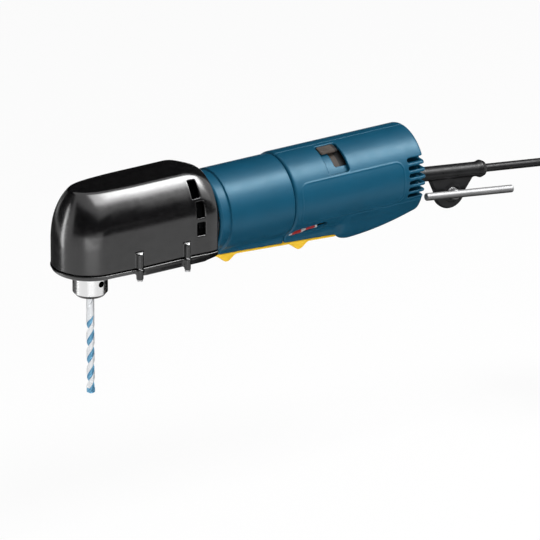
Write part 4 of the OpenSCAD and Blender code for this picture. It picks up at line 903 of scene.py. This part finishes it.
SCREW_INSET, SCREW_SUNK, SCREW_UP, SCREW_DOWN = 0.3, 0.4, 0.55, 0.7
CASE_MARGIN, DUCT_R = 2.7, 29.6


def lug_screw_field(x, y, z):
    ends = np.full(np.shape(x), FAR)
    for place, side, r, top, low in LUGS:
        off = np.hypot(x - place, np.abs(y) - side) - r + SCREW_INSET
        for end_low, end_high in ((top - SCREW_SUNK, top + SCREW_UP), (low - SCREW_DOWN, low + SCREW_SUNK)):
            ends = np.minimum(ends, both(off, between(z, end_low, end_high), 0.4))
    return ends


def tucked(name, node, field, margin, look):
    """A CAD node's surface drawn in where a shell round it needs the room."""
    source = frame["nodes"][node].data
    points = (np.array([v.co for v in source.vertices]) - np.array(SPINDLE)) / MM
    way = gradient(field, points)[0]
    points -= way * np.maximum(field(*points.T) + margin, 0)[:, None]
    made = piece(name, points, [list(p.vertices) for p in source.polygons], look)
    made.data.shade_flat()
    return made


def air_room(x, y, z):
    return np.hypot(y, z) - DUCT_R


lug_screws = form("lug_screw_ends", lug_screw_field, (21, -36, -33), (71, 36, -5), LOOKS["bright_chrome"],
                  step=(0.5, 0.5, 0.35))
case = tucked("gear_casting", "gear_case", head_outer, CASE_MARGIN, LOOKS["cast_alloy"])
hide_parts("gear_case")
duct = tucked("air_duct", "air_guide", air_room, 0.0, LOOKS["black_plastic"])
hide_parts("air_guide")


# Storage tie round the coil, and the plug

TIE_TURN, TIE_SPREAD, TIE_T, TIE_PLAY, TIE_R = 67.5, 11.0, 1.4, 0.6, 40.0
TIE_RIDGE, TIE_RIDGE_PITCH = 0.06, 1.1
TIE_END_HALF_X, TIE_END_HALF_T, TIE_END_HALF_W = 8.0, 1.0, 3.4


def tie_field(x, y, z):
    radius = np.hypot(y, z - COIL_Z)
    across = np.radians(np.degrees(np.arctan2(z - COIL_Z, y)) - TIE_TURN) * TIE_R
    half_x = COIL_PITCH * (COIL_LAYERS - 1) / 2
    half_r = COIL_PITCH * COIL_TURNS / 2
    off_x, off_r = x - COIL_X - half_x, radius - COIL_IN_R - half_r
    room = CORD_D / 2 + TIE_PLAY + TIE_T
    loop = block(off_x, off_r, half_x + room, half_r + room, 3.0)
    ridge = TIE_RIDGE * np.cos(across * 2 * math.pi / TIE_RIDGE_PITCH)
    band = np.abs(loop + TIE_T / 2) - TIE_T / 2 + ridge
    band = both(band, np.abs(across) - math.radians(TIE_SPREAD / 2) * TIE_R, 0.4)
    tail = block(off_x, off_r - half_r - room, TIE_END_HALF_X, TIE_END_HALF_T, 0.5)
    return np.minimum(band, both(tail, np.abs(across) - TIE_END_HALF_W, 0.4))


tie = form("cord_strap", tie_field, (443, 5, -113), (480, 33, -72), LOOKS["black_rubber"],
           step=(0.45, 0.45, 0.45))
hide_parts("cord_tie")
PLUG_LOW, PLUG_HIGH = box_mm("plug_body")
PLUG_MID, PLUG_TOP, PLUG_LEN = (PLUG_LOW + PLUG_HIGH) / 2, PLUG_HIGH[2], PLUG_HIGH[2] - PLUG_LOW[2]
PLUG_NECK_R, PLUG_SWELL, PLUG_SPREAD, PLUG_FROM, PLUG_TO = 5.2, 1.75, 9.0, 5.0, 21.0
PLUG_RIB, PLUG_RIB_PITCH, PLUG_RIB_AT, PLUG_RIB_HALF = 0.35, 2.6, 13.0, 6.5


def plug_field(x, y, z):
    down = PLUG_TOP - z
    swell = ramp(down, PLUG_FROM, PLUG_TO)
    off = np.hypot(x - PLUG_MID[0], np.maximum(np.abs(y - PLUG_MID[1]) - PLUG_SPREAD * swell, 0))
    off = off - PLUG_NECK_R - PLUG_SWELL * swell
    from_ribs = down - PLUG_RIB_AT
    ribs = PLUG_RIB * (1 + np.cos(from_ribs * 2 * math.pi / PLUG_RIB_PITCH))
    off = off + ribs * (np.abs(from_ribs) < PLUG_RIB_HALF)
    return both(off, between(down, 0, PLUG_LEN), 1.0)


plug = form("plug_moulding", plug_field, PLUG_LOW - 2, PLUG_HIGH + 2, LOOKS["black_rubber"],
            step=(0.5, 0.6, 0.4))
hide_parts("plug_body")


# Camera: a long lens, fitted on the photograph

VIEW_AZIMUTH, VIEW_ELEVATION = math.radians(-32.0), math.radians(22.4)
FRAME_WIDTH = 409 * MM
LENS = 800.0
SENSOR = 36.0
TARGET_RIGHT, TARGET_UP = 136.4 * MM, -24.6 * MM
RIGHT = Vector((math.cos(VIEW_AZIMUTH), math.sin(VIEW_AZIMUTH), 0))
BACK = Vector((math.sin(VIEW_AZIMUTH) * math.cos(VIEW_ELEVATION),
               -math.cos(VIEW_AZIMUTH) * math.cos(VIEW_ELEVATION),
               math.sin(VIEW_ELEVATION)))
UP = BACK.cross(RIGHT)
TARGET = SPINDLE + RIGHT * TARGET_RIGHT + UP * TARGET_UP


def camera():
    data = bpy.data.cameras.new("camera")
    data.lens = LENS
    data.sensor_width = SENSOR
    data.clip_end = 50
    made = bpy.data.objects.new("camera", data)
    bpy.context.scene.collection.objects.link(made)
    made.matrix_world = Matrix((RIGHT, UP, BACK)).transposed().to_4x4()
    made.location = TARGET + BACK * (FRAME_WIDTH * LENS / SENSOR)
    bpy.context.scene.camera = made


# Stage: a pale floor below the plug, a white surround, soft lamps, and flags that only reflections see

FLOOR_GAP, FLOOR_SIZE, FLOOR_GLOW = 2 * MM, 12.0, 0.93
AMBIENT = 0.22
GRIP, NOSE, REAR_SIDE = (0.0, 0.0, 0.0), (-0.18, 0.0, 0.0), (0.1, 0.0, 0.0)


def shown_rays(tree):
    """A factor that is 1 for what the camera sees, in reflections and through glass too."""
    rays = tree.nodes.new("ShaderNodeLightPath").outputs
    direct = calc(tree, "MAXIMUM", rays["Is Camera Ray"], rays["Is Glossy Ray"])
    return calc(tree, "MAXIMUM", direct, rays["Is Transmission Ray"])


def surround():
    """White where it is seen, and a faint even light on everything."""
    world = bpy.data.worlds.new("surround")
    world.use_nodes = True
    bpy.context.scene.world = world
    tree = world.node_tree
    plain = tree.nodes["Background"]
    plain.inputs["Color"].default_value = (1, 1, 1, 1)
    plain.inputs["Strength"].default_value = AMBIENT
    white = tree.nodes.new("ShaderNodeBackground")
    white.inputs["Color"].default_value = (1, 1, 1, 1)
    mix = tree.nodes.new("ShaderNodeMixShader")
    tree.links.new(shown_rays(tree), mix.inputs["Fac"])
    tree.links.new(plain.outputs[0], mix.inputs[1])
    tree.links.new(white.outputs[0], mix.inputs[2])
    tree.links.new(mix.outputs[0], tree.nodes["World Output"].inputs["Surface"])


def card(name, centre, toward, width, height, look):
    """A flat sheet facing a point."""
    mesh = bpy.data.meshes.new(name)
    w, h = width / 2, height / 2
    mesh.from_pydata([(-w, -h, 0), (w, -h, 0), (w, h, 0), (-w, h, 0)], [], [(0, 1, 2, 3)])
    mesh.materials.append(look)
    made = bpy.data.objects.new(name, mesh)
    bpy.context.scene.collection.objects.link(made)
    made.location = centre
    made.rotation_mode = "QUATERNION"
    made.rotation_quaternion = (Vector(toward) - Vector(centre)).to_track_quat("Z", "Y")
    return made


def floor():
    """A matt floor that glows to the camera, so that it reads white."""
    n = Nodes("pale_floor")
    n.feed("Base Color", n.tint(n.noise(0.8, 2), (0.9, 0.9, 0.9), (0.93, 0.93, 0.93)))
    n.fix(Roughness=0.9, Specular_IOR_Level=0.2)
    glow = n.tree.nodes.new("ShaderNodeEmission")
    mix = n.tree.nodes.new("ShaderNodeMixShader")
    n.tree.links.new(calc(n.tree, "MULTIPLY", shown_rays(n.tree), FLOOR_GLOW), mix.inputs["Fac"])
    n.tree.links.new(n.shader.outputs[0], mix.inputs[1])
    n.tree.links.new(glow.outputs[0], mix.inputs[2])
    n.tree.links.new(mix.outputs[0], n.tree.nodes["Material Output"].inputs["Surface"])
    low = CAD_BOX[0].z - FLOOR_GAP
    card("floor", (0, 0, low), (0, 0, low + 1), FLOOR_SIZE, FLOOR_SIZE, n.look)


def lamp(name, at, toward, width, height, power, gleam=False):
    """A soft box that faces a point. A gleam shows in reflections only."""
    data = bpy.data.lights.new(name, "AREA")
    data.shape = "RECTANGLE"
    data.size = width
    data.size_y = height
    data.energy = power
    made = bpy.data.objects.new(name, data)
    bpy.context.scene.collection.objects.link(made)
    made.location = at
    back = (Vector(at) - Vector(toward)).normalized()
    side = (Vector((1, 0, 0)) - back * back.x).normalized()
    made.rotation_euler = Matrix((side, back.cross(side), back)).transposed().to_euler()
    made.visible_camera = False
    made.visible_diffuse = not gleam
    return made


def flag(name, at, toward, width, height, look="studio_dark"):
    """A dark studio flag that only reflections see."""
    made = card(name, at, toward, width, height, LOOKS[look])
    made.visible_camera = False
    made.visible_diffuse = False
    made.visible_shadow = False
    made.visible_transmission = False


def floor_flag(name, low, high, look="studio_dark"):
    """A dark cloth on the floor, from one corner to another, that only reflections see."""
    z = CAD_BOX[0].z - FLOOR_GAP / 2
    at = ((low[0] + high[0]) / 2, (low[1] + high[1]) / 2, z)
    flag(name, at, (at[0], at[1], z + 1), high[0] - low[0], high[1] - low[1], look)


camera()
surround()
floor()
LOOKS["studio_dark"] = moulded("studio_dark", (0.004, 0.004, 0.004), 0.9, specular=0.0)
LOOKS["studio_grey"] = moulded("studio_grey", (0.12, 0.12, 0.12), 0.9, specular=0.0)
flag("flag_behind", (0.75, 1.45, 0.75), GRIP, 3.4, 2.2)
flag("flag_behind_left", (-1.2, 1.17, 0.6), NOSE, 1.8, 1.6)
flag("flag_front", (-1.4, -1.05, 0.5), GRIP, 2.6, 1.5)
flag("flag_camera_side", (0.7, -1.95, 0.45), GRIP, 3.4, 1.2)
floor_flag("cloth_behind", (-1.0, 0.28), (0.7, 1.6), "studio_grey")
floor_flag("cloth_under", (0.02, -0.22), (0.6, 0.28))
floor_flag("cloth_camera_side", (-0.1, -2.8), (2.4, -0.72))
lamp("overhead", (0.6, -0.36, 0.97), GRIP, 0.9, 0.45, 14)
lamp("overhead_gleam", (0.36, -0.45, 0.95), GRIP, 1.3, 0.6, 17, gleam=True)
lamp("side_gleam", (0.95, -0.86, 0.59), REAR_SIDE, 0.8, 0.6, 2.4, gleam=True)
lamp("front_strip", (-0.72, 0.30, -0.05), NOSE, 0.09, 0.5, 1.4)
lamp("low_gleam", (-0.42, -0.54, -0.27), NOSE, 0.45, 0.22, 0.6, gleam=True)
lamp("low_gleam_wide", (-0.32, -0.6, -0.3), NOSE, 1.0, 0.3, 1.0, gleam=True)
fill = lamp("camera_side", (-0.44, -1.47, 0.5), GRIP, 0.9, 0.7, 13)
fill.visible_glossy = False

bpy.context.scene.view_settings.view_transform = "Standard"
